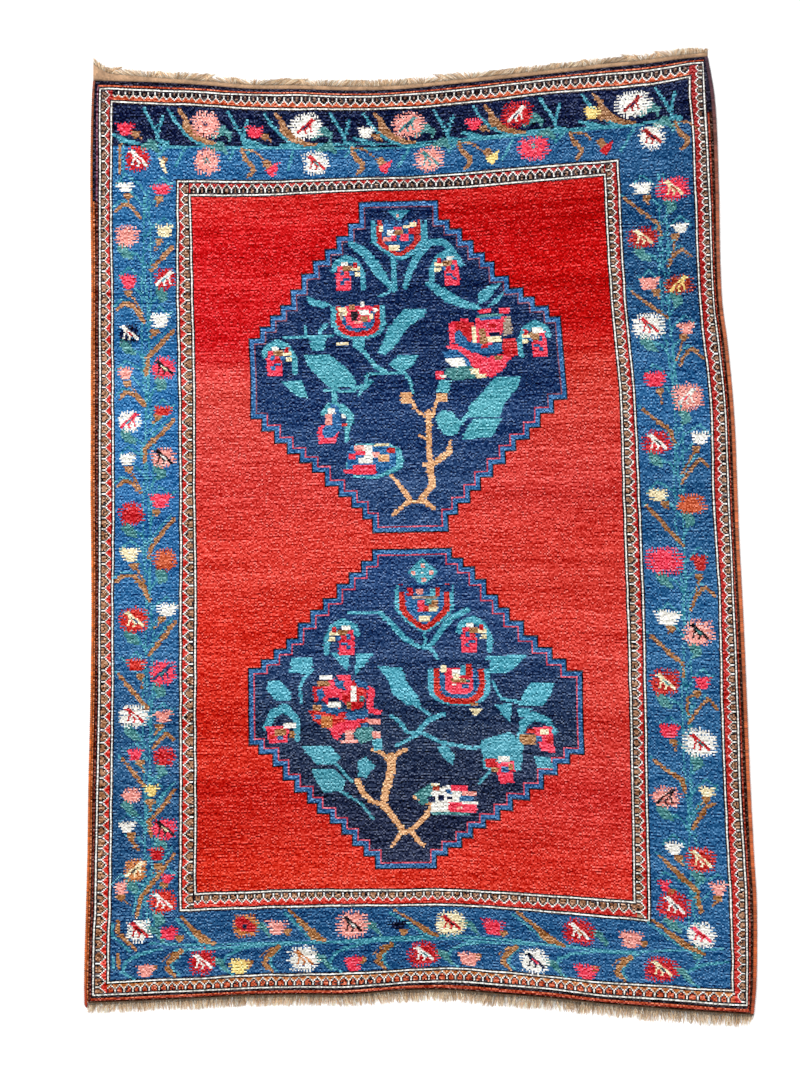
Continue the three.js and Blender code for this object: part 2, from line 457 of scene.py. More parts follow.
# Each guard: its two lines, where it begins and ends, the line that its heads stand on, the dyes
# of its ground and heads, the knots from head to head, and the thickness of the dark edge
OUTER_GUARDS = [
    ("upright", 4, 14, 7, 640, 4, "red", "fawn", [7.8, 7.7, 8.5, 8.4, 8.2, 8.6, 7.8, 8.4], 1),
    (
        "upright", 446, 457, 7, 640, 457, "red", "fawn",
        [5.2, 5.4, 5.8, 6.8, 6.8, 6.7, 6.3, 6.5, 6.6, 6.7], 1,
    ),
    ("level", 5, 15, 15, 446, 5, "brick", "fawn", [5.2, 6.0, 6.7, 6.8, 6.6, 6.8, 6.9], 1.5),
    ("level", 632, 641, 14, 448, 641, "ochre", "brick", [5.8, 6.4, 6.25, 6.3, 6.4, 7.1, 6.6], 1),
]
INNER_GUARDS = [
    ("upright", 63, 73, 68, 583, 73, "red", "fawn", [7.7, 7.6, 8.6, 8.0, 8.0, 8.0, 8.5, 8.0, 7.3], 1),
    ("upright", 382, 392, 68, 583, 382, "red", "fawn", [5.3, 5.8, 6.5, 6.3, 6.9, 6.3, 6.7, 6.4, 6.5], 1),
    ("level", 66, 75, 74, 382, 75, "red", "fawn", [6.05, 6.6, 6.75, 6.8, 6.7], 1.3),
    ("level", 573, 584, 73, 384, 573, "red", "fawn", [6.2, 6.1, 6.5, 6.85, 7.3], 1),
]


def inside_of(lines, ink, bottom=None):
    """The ground within a frame of white lines, past the dark line beside them."""
    block(lines["left"] + 2, lines["top"] + 2, lines["right"] - 1, bottom or lines["bottom"] - 1, ink)


def rims_and_guards():
    """The edge lines, the four guards of each frame, and the plain grounds between them."""
    block(0, 0, COLUMNS, ROWS, "black")
    for left, wide, top, ink in EDGE_LINES:
        block(left, top, left + wide, ROWS, ink)
    bars(
        (0, 0, COLUMNS, 3, "ink"), (3, 3, 456, 1, "brick"), (3, 644, 456, 1, "brick"),
        (2, 645, 459, 1, "rust"), (1, 646, 461, 1, "bark"), (4, 5, 453, 637, "red"),
    )
    for guard in OUTER_GUARDS:
        arrowheads(*guard)
    outline(**OUTER)
    outline(**BORDER)
    inside_of(BORDER, "blue")
    inside_of(BORDER, "navy", BAND_ROW)
    block(INNER["left"], INNER["top"], INNER["right"], INNER["bottom"], "red")
    for guard in INNER_GUARDS:
        arrowheads(*guard)
    outline(**INNER)
    outline(**FIELD)
    inside_of(FIELD, "field")


# The upper border, navy above and blue below

# First column of each V of twigs, of each long leaf, and of each squiggle of the lower row
TWIGS = [38, 102, 178, 255, 335, 421]
LONG_LEAVES = [64, 137, 211, 293, 375]
SQUIGGLES = [112, 194, 274, 357, 434]

# column, row, width, height, petals, and where a bird stands in it, bird and wing
UPPER_FLOWERS = [
    (85, 28, 23, 19, "pink"),
    (160, 28, 26, 20, "white", "scarlet", "navy"),
    (236, 28, 26, 20, "pink", "sage", "navy"),
    (317, 28, 25, 19, "scarlet", "white", "navy"),
    (404, 28, 28, 19, "white", "red", "navy"),
]
UPPER_BUDS = [
    (25, 33, "magenta"), (122, 32, "magenta"), (205, 33, "white"), (285, 32, "magenta"),
    (373, 32, "yellow"),
]
LOWER_FLOWERS = [
    (34, 52, 19, 17, "scarlet", "white", "scarlet"),
    (86, 53, 20, 19, "pink"),
    (167, 54, 21, 18, "white", "scarlet", "sage"),
    (252, 54, 24, 19, "pink", "sage", "pink"),
    (330, 53, 24, 18, "magenta"),
    (417, 52, 20, 18, "white", "red", "navy"),
]
LOWER_TWIGS = [
    ((69, 44), (62, 56)), ((106, 45), (103, 51)), ((150, 46), (147, 58)), ((237, 45), (229, 58)),
    ((314, 46), (306, 59)), ((405, 44), (395, 60)),
]
LOWER_BUDS = [(135, 58, "magenta"), (219, 58, "magenta"), (299, 57, "yellow"), (384, 57, "scarlet")]

# Corners of the half-open petals of the lower row, from a bud's middle
HALF_OPEN = [(5, -5), (4, 0), (1, 5), (-3, 4), (-5, 0), (-1, -2)]


def at_each(places, ink, points):
    """The same ribbon at several columns of a border, with its own columns counted from each."""
    for at in places:
        ribbon([(at + x, y, w) for x, y, w in points], ink)


def upper_border():
    """The upper border: a wavy double stem between its two rows, then the twigs, leaves and
    flowers of the upper row and of the lower row."""
    line(
        1.6, "teal", (30, 42), (60, 44), (100, 43), (165, 43), (200, 45), (245, 44), (290, 43),
        (345, 43), (400, 43), (432, 41),
    )
    line(1.2, "teal", (140, 41), (180, 41), (240, 42), (330, 41), (400, 42))
    at_each(TWIGS, "teal", [(0, 19, 2), (5, 27, 2.4), (10, 35, 2.6), (12, 42, 2)])
    at_each(TWIGS, "teal", [(14, 24, 2.6), (12, 31, 2.2), (11, 37, 2)])
    at_each(TWIGS, "teal", [(12, 40, 2), (17, 42, 4), (15, 46, 3), (11, 50, 1.6)])
    leaf_shadow = [(-8, 19, 1.6), (-3, 27, 2.6), (4, 34, 2.6), (12, 39, 3), (20, 42, 3), (36, 43, 2)]
    long_leaf = [(0, 19, 2.2), (5, 25, 3.6), (6, 30, 7), (13, 36, 5.4), (22, 40, 3.4), (30, 41, 1.6)]
    at_each(LONG_LEAVES, "teal", leaf_shadow)
    at_each(LONG_LEAVES, "tan", long_leaf)
    for col, row, *rest in UPPER_FLOWERS:
        ribbon([(col + 6, 36, 4), (col + 13, 31, 6), (col + 18, 34, 4.5), (col + 18, 38, 2)], "sage")
        flower(col, row, *rest, faces="right")
    for col, row, petal in UPPER_BUDS:
        ribbon([(col - 9, 37, 2), (col - 1, 40, 4.4), (col + 8, 42, 2)], "teal")
        bud(col, row, 12, 9, petal, (7, 3), stalk=((col + 12, row + 6),))
    at_each(SQUIGGLES, "tan", [(1, 44.5, 1.4), (9, 45, 1.4), (17, 51, 1.4)])
    at_each(SQUIGGLES, "tan", [(0, 44, 3), (2, 50, 3), (8, 56, 3.6), (8, 60, 3), (4, 63, 2.4)])
    for col, row, *rest in LOWER_FLOWERS:
        ribbon([(col + 3, 45, 4), (col + 10, 42, 6), (col + 15, 47, 3)], "sage")
        flower(col, row, *rest)
    for col, row, petal in LOWER_BUDS:
        patch([(col - 8, row - 6), (col - 2, row - 7), (col + 1, row - 1), (col - 4, row + 1)], "tan")
        patch([(col + x, row + y) for x, y in HALF_OPEN], petal)
    patch([(49, 51), (53, 52), (56, 61), (53, 60)], "cream")
    patch([(52, 50), (56, 51), (55, 55), (53, 54)], "tan")
    ribbon([(21, 43, 3), (21, 61, 3)], "tan")
    line(1.2, "teal", (23.5, 44), (23.5, 60))
    for twig in LOWER_TWIGS:
        line(2, "teal", *twig)
    for left, top, ink in ((82, 25, "navy"), (83, 50, "sage"), (327, 49, "sage")):
        stitch(SEEDS, left, top, {"s": ink})


# The side borders

# column, row, width, height, petals, and where a bird stands in it: bird, wing, and "right" where
# it faces right
LEFT_FLOWERS = [
    (26, 105, 18, 17, "pink"),
    (54, 136, 16, 17, "scarlet", "white", "teal", "right"),
    (27, 175, 17, 15, "navy", "white", "red"),
    (52, 200, 20, 17, "magenta", "black", "cream"),
    (27, 238, 18, 16, "white", "magenta", "teal", "right"),
    (51, 264, 20, 15, "pink", "black", "white"),
    (28, 304, 20, 17, "scarlet"),
    (52, 337, 18, 17, "brick"),
    (30, 379, 23, 19, "red", "cream", "night"),
    (51, 417, 20, 19, "magenta", "night", "sage", "right"),
    (30, 447, 23, 18, "white", "scarlet", "white"),
    (52, 476, 17, 14, "scarlet"),
    (29, 503, 15, 12, "pink"),
    (52, 527, 18, 16, "magenta", "black", "cream"),
    (32, 555, 16, 18, "ochre", "cream", "black", "right"),
    (51, 578, 20, 19, "red", "white", "scarlet"),
]

# column, row, width, height, petals, offset of the calyx, end of the stalk
LEFT_BUDS = [
    (25, 70, 12, 7, "white", (2, 6), ((28, 84),)),
    (52, 72, 15, 7, "magenta", (-2, 6), ((48, 84),)),
    (54, 102, 12, 10, "cream", (-4, 7), ((47, 116),)),
    (27, 138, 12, 11, "magenta", (0, 8), ((32, 152), (37, 161))),
    (50, 166, 14, 11, "white", (-4, 8), ((42, 179),)),
    (24, 204, 10, 9, "pink", (1, 7), ((32, 218), (38, 225))),
    (51, 231, 13, 7, "red", (-4, 4), ((44, 240),)),
    (25, 265, 11, 8, "white", (1, 7), ((31, 280), (35, 287))),
    (49, 295, 15, 11, "magenta", (-3, 8), ((43, 306),)),
    (27, 333, 13, 11, "cream", (3, 8), ((37, 352), (39, 360))),
    (54, 373, 14, 10, "white", (-4, 6), ((44, 387),)),
    (32, 411, 14, 9, "red", (3, 8), ((36, 428),)),
    (51, 448, 13, 9, "pink", (-3, 7), ((45, 461),)),
    (31, 474, 11, 8, "magenta", (4, 6), ((37, 487),)),
    (43, 500, 10, 9, "yellow", (-1, 8), ((42, 515),)),
    (26, 525, 11, 8, "white", (3, 6), ((33, 540),)),
    (47, 545, 10, 10, "scarlet", (1, 8), ((45, 558),)),
    (54, 562, 9, 7, "magenta", (-2, 4), ()),
    (22, 568, 9, 10, "pink", (0, 6), ((28, 580),)),
]

# The arched tan leaves and the long slanting ones: column, row and width at their points
LEFT_LEAVES = [
    [(18, 87, 2), (24, 82, 3), (29, 83, 3), (36, 92, 2.4)],
    [(60, 113, 3), (50, 123, 2.8), (44, 130, 2)],
    [(18, 158, 2), (24, 153, 3), (30, 155, 3.4), (38, 167, 3)],
    [(60, 173, 3), (50, 183, 3), (41, 192, 3), (39, 205, 3)],
    [(20, 222, 2), (24, 217, 3), (30, 219, 3), (38, 227, 3)],
    [(59, 237, 3), (50, 247, 3), (38, 257, 3), (37, 267, 3)],
    [(18, 284, 2.4), (23, 280, 3), (29, 282, 3), (34, 289, 2.4)],
    [(59, 308, 3), (50, 318, 3), (42, 328, 3), (40, 335, 2)],
    [(17, 352, 3), (22, 348, 3), (30, 348, 3), (37, 357, 4), (41, 366, 2)],
    [(60, 381, 3), (52, 391, 4), (41, 404, 2)],
    [(19, 417, 2.4), (28, 428, 3), (40, 442, 3)],
    [(44, 470, 2), (53, 460, 3), (59, 465, 2)],
    [(22, 477, 2), (30, 487, 3), (37, 496, 3)],
    [(59, 500, 2.4), (50, 512, 3.4), (41, 522, 3.4), (43, 532, 2.4)],
    [(27, 532, 2.4), (34, 541, 2.4)],
    [(59, 545, 2), (48, 560, 3), (36, 575, 3), (33, 589, 2.4)],
]

RIGHT_FLOWERS = [
    (431, 89, 25, 17, "magenta", "cream", "red"),
    (408, 121, 24, 16, "red", "cream", "red"),
    (432, 155, 23, 14, "rust", "yellow", "rust", "right"),
    (408, 182, 25, 19, "white", "scarlet", "sage"),
    (430, 232, 24, 20, "pink", "white", "magenta", "right"),
    (407, 262, 22, 17, "scarlet", "white", "black"),
    (430, 304, 22, 15, "brick"),
    (409, 342, 28, 20, "magenta"),
    (431, 390, 25, 18, "pink", "black", "sage"),
    (407, 424, 23, 19, "red", "cream", "sage"),
    (430, 464, 25, 20, "white", "scarlet", "sage"),
    (406, 501, 22, 15, "pink", "black", "pink", "right"),
    (428, 541, 21, 18, "red", "cream", "scarlet"),
    (409, 573, 24, 20, "scarlet", "white", "night"),
    (426, 592, 20, 20, "white", "magenta", "red"),
]
RIGHT_BUDS = [
    (409, 87, 15, 8, "white", (3, 7), ((413, 99),)),
    (435, 117, 11, 7, "white", (-4, 5), ((428, 134),)),
    (411, 153, 15, 9, "pink", (4, 6), ((417, 164),)),
    (435, 185, 12, 8, "pink", (-3, 6), ((428, 200), (425, 207))),
    (408, 219, 16, 11, "magenta", (3, 8), ((412, 236),)),
    (438, 260, 12, 9, "white", (-3, 7), ((429, 276), (424, 284))),
    (406, 298, 13, 9, "cream", (5, 6), ((414, 308),)),
    (434, 344, 11, 12, "red", (-1, 9), ((430, 365),)),
    (410, 381, 18, 11, "white", (2, 7), ((409, 392),)),
    (433, 424, 11, 9, "magenta", (-4, 7), ((422, 434), (422, 446))),
    (409, 457, 15, 10, "magenta", (3, 7), ((413, 470),)),
    (434, 496, 10, 7, "cream", (-1, 5), ((426, 508),)),
    (410, 535, 12, 9, "white", (3, 6), ((416, 546),)),
    (403, 560, 8, 8, "magenta", (4, 4), ((410, 568),)),
    (439, 560, 11, 10, "pink", (-1, 6), ((434, 572),)),
]
RIGHT_LEAVES = [
    [(396, 93, 2), (410, 105, 2.4), (419, 112, 2.4), (421, 120, 1.6)],
    [(425, 142, 2), (430, 134, 2.6), (436, 131, 2.4), (441, 136, 2)],
    [(398, 158, 2), (410, 168, 2.6), (422, 177, 2)],
    [(427, 210, 2), (432, 202, 2.6), (438, 199, 2.6), (444, 206, 2)],
    [(398, 239, 2), (410, 249, 3), (417, 254, 3), (419, 263, 2)],
    [(424, 290, 2), (432, 279, 2.8), (438, 274, 2.8), (443, 279, 2)],
    [(398, 305, 2.6), (410, 318, 3), (423, 332, 2.4)],
    [(426, 375, 2), (430, 366, 2.6), (437, 360, 2.6), (443, 366, 2)],
    [(397, 393, 3), (410, 404, 3), (420, 412, 3), (420, 420, 2)],
    [(423, 451, 2.4), (430, 441, 2.4), (437, 434, 2.4), (443, 441, 2)],
    [(398, 477, 3), (410, 485, 3), (417, 489, 4), (419, 497, 2.4)],
    [(423, 521, 2.4), (429, 512, 3), (434, 505, 2.6), (438, 504, 2)],
    [(401, 541, 2.4), (412, 551, 3.4), (424, 562, 3.4), (427, 576, 3)],
]

# How a side border's stem sways: by so many knots, over so many rows, from row to row
STEM = {"sway": 1.4, "wave": 23, "top": 78, "bottom": 606, "step": 12}


def side_border(stem, flowers, buds, leaves):
    """One side border. The stem is three thin lines. Beside every flower a pair of twigs arches
    over it, and every slanting leaf has a thin companion."""
    for shift in (-2.5, 0, 2.5):
        waves = [
            (stem + shift + STEM["sway"] * np.sin(row / STEM["wave"] + shift), row)
            for row in range(STEM["top"], STEM["bottom"], STEM["step"])
        ]
        line(1.1, "teal", *waves)
    for col, row, _, high, *_ in flowers:
        side = 1 if col > stem else -1
        foot = row + high / 2
        ribbon([(stem, row + 24, 1.2), (stem + side * 6, row + 14, 1.6), (col, row + 11, 3)], "teal")
        ribbon([(col - 4, foot, 7), (col - 1, foot + 4, 7), (col - side * 4, foot + 8, 2)], "sage")
    for col, row, _, high, *_ in buds:
        side = 1 if col > stem else -1
        peak = row - high / 2 - 5
        ribbon([
            (stem, peak + 14, 1.2), (stem + side * 4, peak + 7, 1.4), (col, peak, 1.4),
            (col + side * 7, peak + 7, 1.4),
        ], "teal")
        ribbon([
            (stem, peak + 24, 1.1), (stem + side * 9, peak + 14, 1.4), (stem + side * 19, peak + 4, 1.1),
        ], "teal")
    for points in leaves:
        ribbon([(x - 2.5, y - 2.5, 1.4) for x, y, _ in points], "teal")
        ribbon(points, "tan")
    for row_of in buds:
        bud(*row_of)
    for row_of in flowers:
        flower(*row_of)


# The lower border: the tables as for the other borders

BOTTOM_FLOWERS = [
    (35, 598, 18, 18, "white", "scarlet", "black"),
    (109, 597, 19, 18, "ochre"),
    (184, 598, 24, 20, "pink", "black", "white"),
    (253, 598, 23, 20, "cream", "scarlet", "black"),
    (343, 597, 24, 20, "scarlet", "white", "ochre"),
    (79, 621, 19, 19, "scarlet", "white", "scarlet"),
    (150, 621, 22, 20, "white", "ochre", "white"),
    (234, 621, 24, 20, "scarlet", "white", "sage"),
    (312, 622, 22, 20, "white", "navy", "magenta"),
    (400, 620, 24, 20, "scarlet", "cream", "night"),
]
BOTTOM_BUDS = [
    (56, 601, 12, 10, "magenta", (7, 3)),
    (131, 599, 13, 11, "pink", (8, 3)),
    (217, 599, 13, 7, "navy", (3, 5)),
    (283, 600, 15, 12, "magenta", (7, 3)),
    (380, 600, 15, 13, "pink", (8, 2)),
    (40, 626, 12, 10, "pink", (5, -2)),
    (105, 626, 14, 11, "yellow", (7, -2)),
    (185, 626, 12, 12, "magenta", (6, -3)),
    (266, 625, 14, 11, "pink", (6, -3)),
    (348, 626, 15, 11, "magenta", (7, -3)),
]
BOTTOM_LEAVES = [
    [(64, 589, 2), (72, 598, 3), (79, 605, 6), (88, 609, 2)],
    [(140, 587, 2), (150, 597, 3.4), (157, 605, 6.4), (166, 609, 2)],
    [(214, 588, 1.6), (226, 596, 2), (236, 603, 4.6), (244, 608, 2)],
    [(300, 587, 2), (312, 596, 3.4), (321, 604, 6.6), (334, 609, 2)],
    [(395, 584, 2), (405, 592, 3.4), (415, 600, 5), (428, 606, 2)],
    [(20, 591, 3), (21, 600, 3), (33, 611, 2)],
    [(21, 614, 2), (22, 623, 2.6)],
]
BOTTOM_SQUIGGLES = [64, 132, 211, 299, 379]
BOTTOM_ARCHES = [24, 92, 168, 250, 326, 416]


def lower_border():
    """The lower border: its stem, then the arches, leaves, squiggles, flowers and buds."""
    line(
        1.6, "teal", (44, 607), (70, 609), (120, 610), (170, 610), (220, 610), (280, 611), (330, 609),
        (380, 609), (405, 606), (440, 601),
    )
    line(1.2, "teal", (60, 612), (120, 612), (200, 608), (300, 608), (385, 611))
    arch = [(8, 631, 1.6), (0, 626, 2), (3, 619, 2.2), (12, 614, 2.4), (27, 611, 1.6)]
    at_each(BOTTOM_ARCHES, "teal", arch)
    for points in BOTTOM_LEAVES:
        ribbon([(x - 3.5, y + 1.5, 1.8) for x, y, _ in points], "teal")
        ribbon(points, "tan")
    at_each(BOTTOM_SQUIGGLES, "tan", [(-13, 620, 1.2), (-8, 615, 1.4), (-1, 613, 1.8)])
    at_each(BOTTOM_SQUIGGLES, "teal", [(2.5, 613, 1.6), (-5, 621, 1.6), (-5, 626, 1.4), (0, 630, 1.4)])
    at_each(BOTTOM_SQUIGGLES, "tan", [(0, 613, 4), (-8, 620, 4), (-9, 625, 3.4), (-4, 630, 2.4)])
    for col, row, wide, *rest in BOTTOM_FLOWERS:
        rim = col + wide / 2
        ribbon([(rim - 2, row, 6), (rim + 3, row + 1, 5), (rim + 8, row + 8, 1.8)], "sage")
        flower(col, row, wide, *rest)
    patch([
        (102, 592), (107, 590), (112, 594), (117, 598), (115, 602), (108, 601), (102, 597),
    ], "scarlet")
    block(107, 596, 110, 599, "night")
    for row_of in BOTTOM_BUDS:
        bud(*row_of)


# The medallions

# Their stepped edges from the top down: each column, with the row that the edge runs down to there
UPPER_LEFT_EDGE = [
    (198, 99), (190, 108), (181, 117), (172, 125), (163, 134), (154, 145), (146, 156), (138, 163),
    (130, 171), (122, 179), (114, 238), (122, 247), (131, 256), (140, 264), (149, 271), (158, 278),
    (167, 288), (177, 296), (186, 304), (194, 312), (201, 322),
]
UPPER_RIGHT_EDGE = [
    (258, 98), (266, 105), (275, 114), (283, 123), (291, 130), (298, 141), (308, 150), (318, 157),
    (326, 164), (336, 172), (344, 231), (334, 240), (324, 250), (316, 258), (306, 266), (298, 275),
    (289, 284), (280, 293), (272, 302), (263, 310), (256, 322),
]
LOWER_LEFT_EDGE = [
    (200, 341), (192, 349), (183, 357), (174, 367), (164, 375), (155, 384), (146, 395), (138, 402),
    (129, 409), (120, 415), (111, 470), (118, 477), (128, 486), (135, 496), (143, 505), (152, 513),
    (159, 520), (168, 527), (176, 535), (184, 543), (192, 550), (200, 559),
]
LOWER_RIGHT_EDGE = [
    (258, 340), (266, 346), (274, 355), (282, 366), (290, 375), (298, 384), (308, 394), (318, 402),
    (328, 410), (338, 418), (349, 476), (339, 483), (330, 491), (320, 501), (310, 509), (298, 517),
    (289, 524), (279, 530), (270, 537), (262, 544), (252, 550), (244, 559),
]

PLUM_ABOVE = 235                   # row above which a medallion's thin line is plum, not rose


def shrink(mask, by):
    """The knots of a mask that lie more than so many knots inside its edge."""
    inner = mask.copy()
    for _ in range(by):
        solid = inner.copy()
        for axis in (0, 1):
            solid &= np.roll(inner, 1, axis) & np.roll(inner, -1, axis)
        for shift in ((1, 1), (1, -1), (-1, 1), (-1, -1)):
            solid &= np.roll(inner, shift, (0, 1))
        inner = solid
    return inner


def medallion(top, left_edge, right_edge):
    """A stepped medallion: a dark line, a blue band, a thin red line and the dark ground."""
    row, col = np.meshgrid(np.arange(ROWS) + 0.5, np.arange(COLUMNS) + 0.5, indexing="ij")
    whole = (row > top) & (row < left_edge[-1][1])
    for edge, side in ((left_edge, 1), (right_edge, -1)):
        columns, ends = np.transpose(edge)
        at = columns[np.clip(np.searchsorted(ends, row[:, 0]), 0, len(edge) - 1)]
        whole &= side * (col - at[:, None]) > 0
    chart[whole] = INK["black"]
    for inset, ink in ((1, "sky"), (4, "rose"), (5, "night")):
        chart[shrink(whole, inset)] = INK[ink]
    chart[(chart == INK["rose"]) & (row < PLUM_ABOVE)] = INK["plum"]
    return shrink(whole, 7)


def cup(col, row, wide, high, pointed, ring, inner, heart):
    """A rose seen from the side: nested cups with the open side up. The measure of a knot is
    (|x|^p + y^p)^(1/p), with y counted as 0 above the middle. p is near 1 for a pointed cup."""
    p = 1.25 if pointed else 2.6
    cells, c, _, x, y = around(col, row, wide, high, margin=0)
    measure = (np.abs(x) ** p + np.maximum(y, 0) ** p) ** (1 / p)
    notch = (y < -0.8) & (c % 5 < 2)
    for reach, ink in ((1.0, ring), (0.74, inner), (0.56, heart)):
        chart[cells][(measure < reach) & ~notch] = INK[ink]


def hood(col, row, side, petal):
    """A drooping bud: thin teal sepals arched over it, longer on one side, a block of petals
    below with a blue figure, and bits of white and tan under the arch."""
    def across(x, width):
        """First and last column of a strip that starts x knots from the middle."""
        first = col + side * x - (width if side < 0 else 0)
        return round(first), round(first) + width

    ribbon([
        (col - side * 11, row - 5, 4), (col - side * 8, row - 10, 5), (col - side * 1, row - 14, 5),
        (col + side * 6, row - 10, 5), (col + side * 11, row - 2, 4), (col + side * 11, row + 9, 3),
    ], "aqua")
    figures = [
        (-9, 11, -3, 10, petal), (-8, 8, -8, -3, petal), (-4, 7, -8, -4, "tan"),
        (-5, 5, -11, -8, "white"), (3, 6, -7, -4, "cream"), (5, 4, -3, 0, "cream"),
        (-6, 3, -5, -1, "blue"), (-4, 5, 1, 3, "blue"), (-6, 3, 3, 6, "blue"),
        (-2, 4, -3, 0, "scarlet"), (4, 3, -10, -6, "scarlet"), (1, 3, -4, -1, "sky"),
    ]
    for x, width, top, bottom, ink in figures:
        first, last = across(x, width)
        block(first, row + top, last, row + bottom, ink)


def leaf(*points, ink="aqua"):
    """A leaf by its corners, or a petal where another ink is named."""
    patch(points, ink)


def upper_bush():
    """The flowering bush of the upper medallion."""
    # Trunk and twigs
    vines(
        "camel",
        [(243, 236, 4), (243, 256, 5), (243, 276, 5), (245, 288, 4.6), (236, 299, 4)],
        [(243, 275, 4), (252, 269, 4.4), (258, 265, 4), (258, 257, 2)],
        [(226, 301, 3.4), (216, 309, 2.4)],
        [(237, 298, 4), (246, 305, 3)],
        [(212, 278, 2), (220, 286, 3), (229, 299, 4)],
        [(229, 300, 3), (238, 300, 3)],
        (2.4, (231, 228), (234, 234), (240, 239), (246, 239), (249, 228)),
        (2.2, (242, 256), (236, 253)),
    )
    bars((223, 222, 8, 8, "camel"), (249, 223, 8, 6, "camel"), (238, 272, 5, 3, "camel"))
    # Stems
    vines(
        "aqua",
        (3.4, (223, 124), (223, 148)),
        [(192, 114, 5), (201, 120, 7), (208, 129, 8), (214, 138, 7), (220, 146, 4)],
        [(231, 146, 4), (235, 134, 5), (242, 122, 6), (251, 114, 5), (261, 115, 5), (268, 122, 4)],
        (2.2, (222, 148), (213, 152), (204, 158)),
        (3.4, (193, 186), (198, 192), (206, 203), (213, 207)),
        (2.4, (203, 208), (227, 208), (231, 214), (232, 222)),
        (2.2, (140, 180), (176, 180)),
        (3, (156, 172), (156, 180)),
        (3, (172, 172), (167, 175), (166, 180)),
        (2.4, (260, 252), (272, 238)),
    )
    # Leaves
    leaf(
        (230, 162), (246, 162), (243, 168), (234, 173), (227, 180), (222, 188), (213, 195), (208, 193),
        (213, 184), (217, 174), (225, 167),
    )
    leaf((216, 202), (222, 195), (238, 195), (233, 203), (224, 208))
    leaf((154, 193), (172, 193), (184, 202), (191, 213), (190, 217), (172, 217), (163, 209), (156, 200))
    leaf((137, 211), (152, 211), (156, 224), (147, 222))
    leaf((158, 180), (171, 181), (169, 190), (160, 190))
    vines(
        "aqua",
        (2, (168, 219), (190, 220)),
        [(189, 218, 2), (197, 217, 5), (203, 213, 2)],
        (2.2, (193, 223), (197, 217), (200, 208)),
        [(247, 144, 3), (254, 148, 6), (262, 154, 8), (271, 159, 6), (284, 163, 3)],
    )
    leaf((283, 161), (284, 153), (292, 148), (302, 146), (292, 158))
    leaf((288, 164), (296, 158), (304, 152), (300, 160))
    leaf((292, 213), (311, 213), (308, 222), (299, 230), (294, 241), (271, 241), (272, 234), (281, 225))
    leaf((275, 242), (296, 242), (288, 255), (267, 256), (270, 249))
    leaf((248, 240), (253, 235), (260, 236), (266, 244), (264, 252), (256, 253), (250, 248))
    leaf((249, 222), (252, 213), (261, 214), (257, 223))
    leaf((158, 150), (166, 154), (176, 157), (170, 160), (160, 157))
    # Top rose
    leaf((219, 91), (237, 91), (228, 99))
    bars((226, 94, 2, 2, "pink"))
    cup(228, 113, 42, 29, True, "aqua", "red", "blue")
    cup(227, 112, 33, 25, True, "red", "blue", "blue")
    bars(
        (213, 102, 3, 4, "cream"), (216, 101, 6, 5, "sky"), (219, 105, 5, 4, "white"),
        (225, 105, 6, 4, "tan"), (224, 103, 6, 2, "magenta"), (231, 102, 5, 2, "cream"),
        (229, 108, 6, 5, "magenta"), (235, 104, 5, 4, "scarlet"), (236, 100, 5, 3, "cream"),
        (216, 110, 6, 3, "pink"), (222, 109, 4, 4, "magenta"), (220, 116, 8, 4, "cream"),
    )
    # Buds below it, one a side
    hood(189, 138, 1, "magenta")
    hood(262, 136, -1, "magenta")
    # Left rose
    cup(195, 169, 40, 28, False, "aqua", "red", "night")
    cup(195, 168, 32, 26, False, "scarlet", "blue", "magenta")
    block(176, 153, 215, 159, "night")
    bars(
        (181, 160, 6, 6, "cream"), (189, 158, 4, 4, "tan"), (197, 156, 3, 4, "white"),
        (201, 160, 6, 3, "magenta"), (190, 163, 5, 7, "black"), (196, 162, 7, 4, "white"),
        (186, 167, 4, 4, "magenta"), (196, 167, 6, 4, "tan"), (203, 165, 3, 4, "cream"),
        (192, 170, 5, 2, "pink"), (198, 171, 5, 3, "sky"), (178, 185, 9, 2, "cream"),
        (182, 163, 2, 6, "stone"), (206, 161, 3, 3, "white"),
    )
    leaf((190, 183), (199, 182), (199, 188), (196, 193), (190, 188))
    # Large rose
    leaf((281, 170), (304, 170), (300, 182), (291, 190), (281, 188), ink="magenta")
    bars(
        (284, 164, 9, 3, "magenta"), (299, 164, 8, 4, "magenta"), (282, 168, 19, 2, "sage"),
        (284, 170, 16, 2, "sky"), (270, 170, 6, 3, "magenta"),
    )
    leaf((302, 171), (307, 170), (307, 183), (300, 184), ink="stone")
    leaf((266, 172), (280, 173), (281, 184), (274, 188), (265, 180), ink="scarlet")
    leaf((261, 173), (266, 172), (266, 186), (261, 188), ink="magenta")
    leaf(
        (265, 180), (269, 178), (274, 186), (285, 190), (300, 189), (301, 195), (286, 197), (272, 192),
        (265, 187), ink="blue",
    )
    leaf(
        (257, 189), (266, 188), (276, 194), (288, 199), (302, 196), (312, 189), (313, 196), (304, 200),
        (299, 208), (290, 213), (281, 210), (274, 205), (270, 197), ink="magenta",
    )
    leaf((300, 186), (309, 186), (312, 196), (303, 200), (299, 195), ink="scarlet")
    leaf((255, 193), (266, 192), (274, 199), (276, 205), (270, 206), (264, 199), (257, 198), ink="blue")
    leaf((257, 198), (270, 198), (272, 204), (266, 205), (260, 203), ink="white")
    leaf((257, 205), (275, 204), (281, 208), (278, 213), (262, 214), (256, 210), ink="sage")
    bars(
        (278, 176, 3, 12, "cream"), (283, 178, 5, 11, "tan"), (288, 184, 11, 4, "cream"),
        (290, 181, 8, 3, "navy"), (275, 206, 6, 4, "cream"), (279, 210, 7, 3, "cream"),
        (293, 198, 6, 3, "tan"), (249, 207, 6, 6, "magenta"), (253, 210, 4, 2, "white"),
        (284, 189, 5, 3, "scarlet"), (290, 175, 6, 3, "scarlet"),
    )
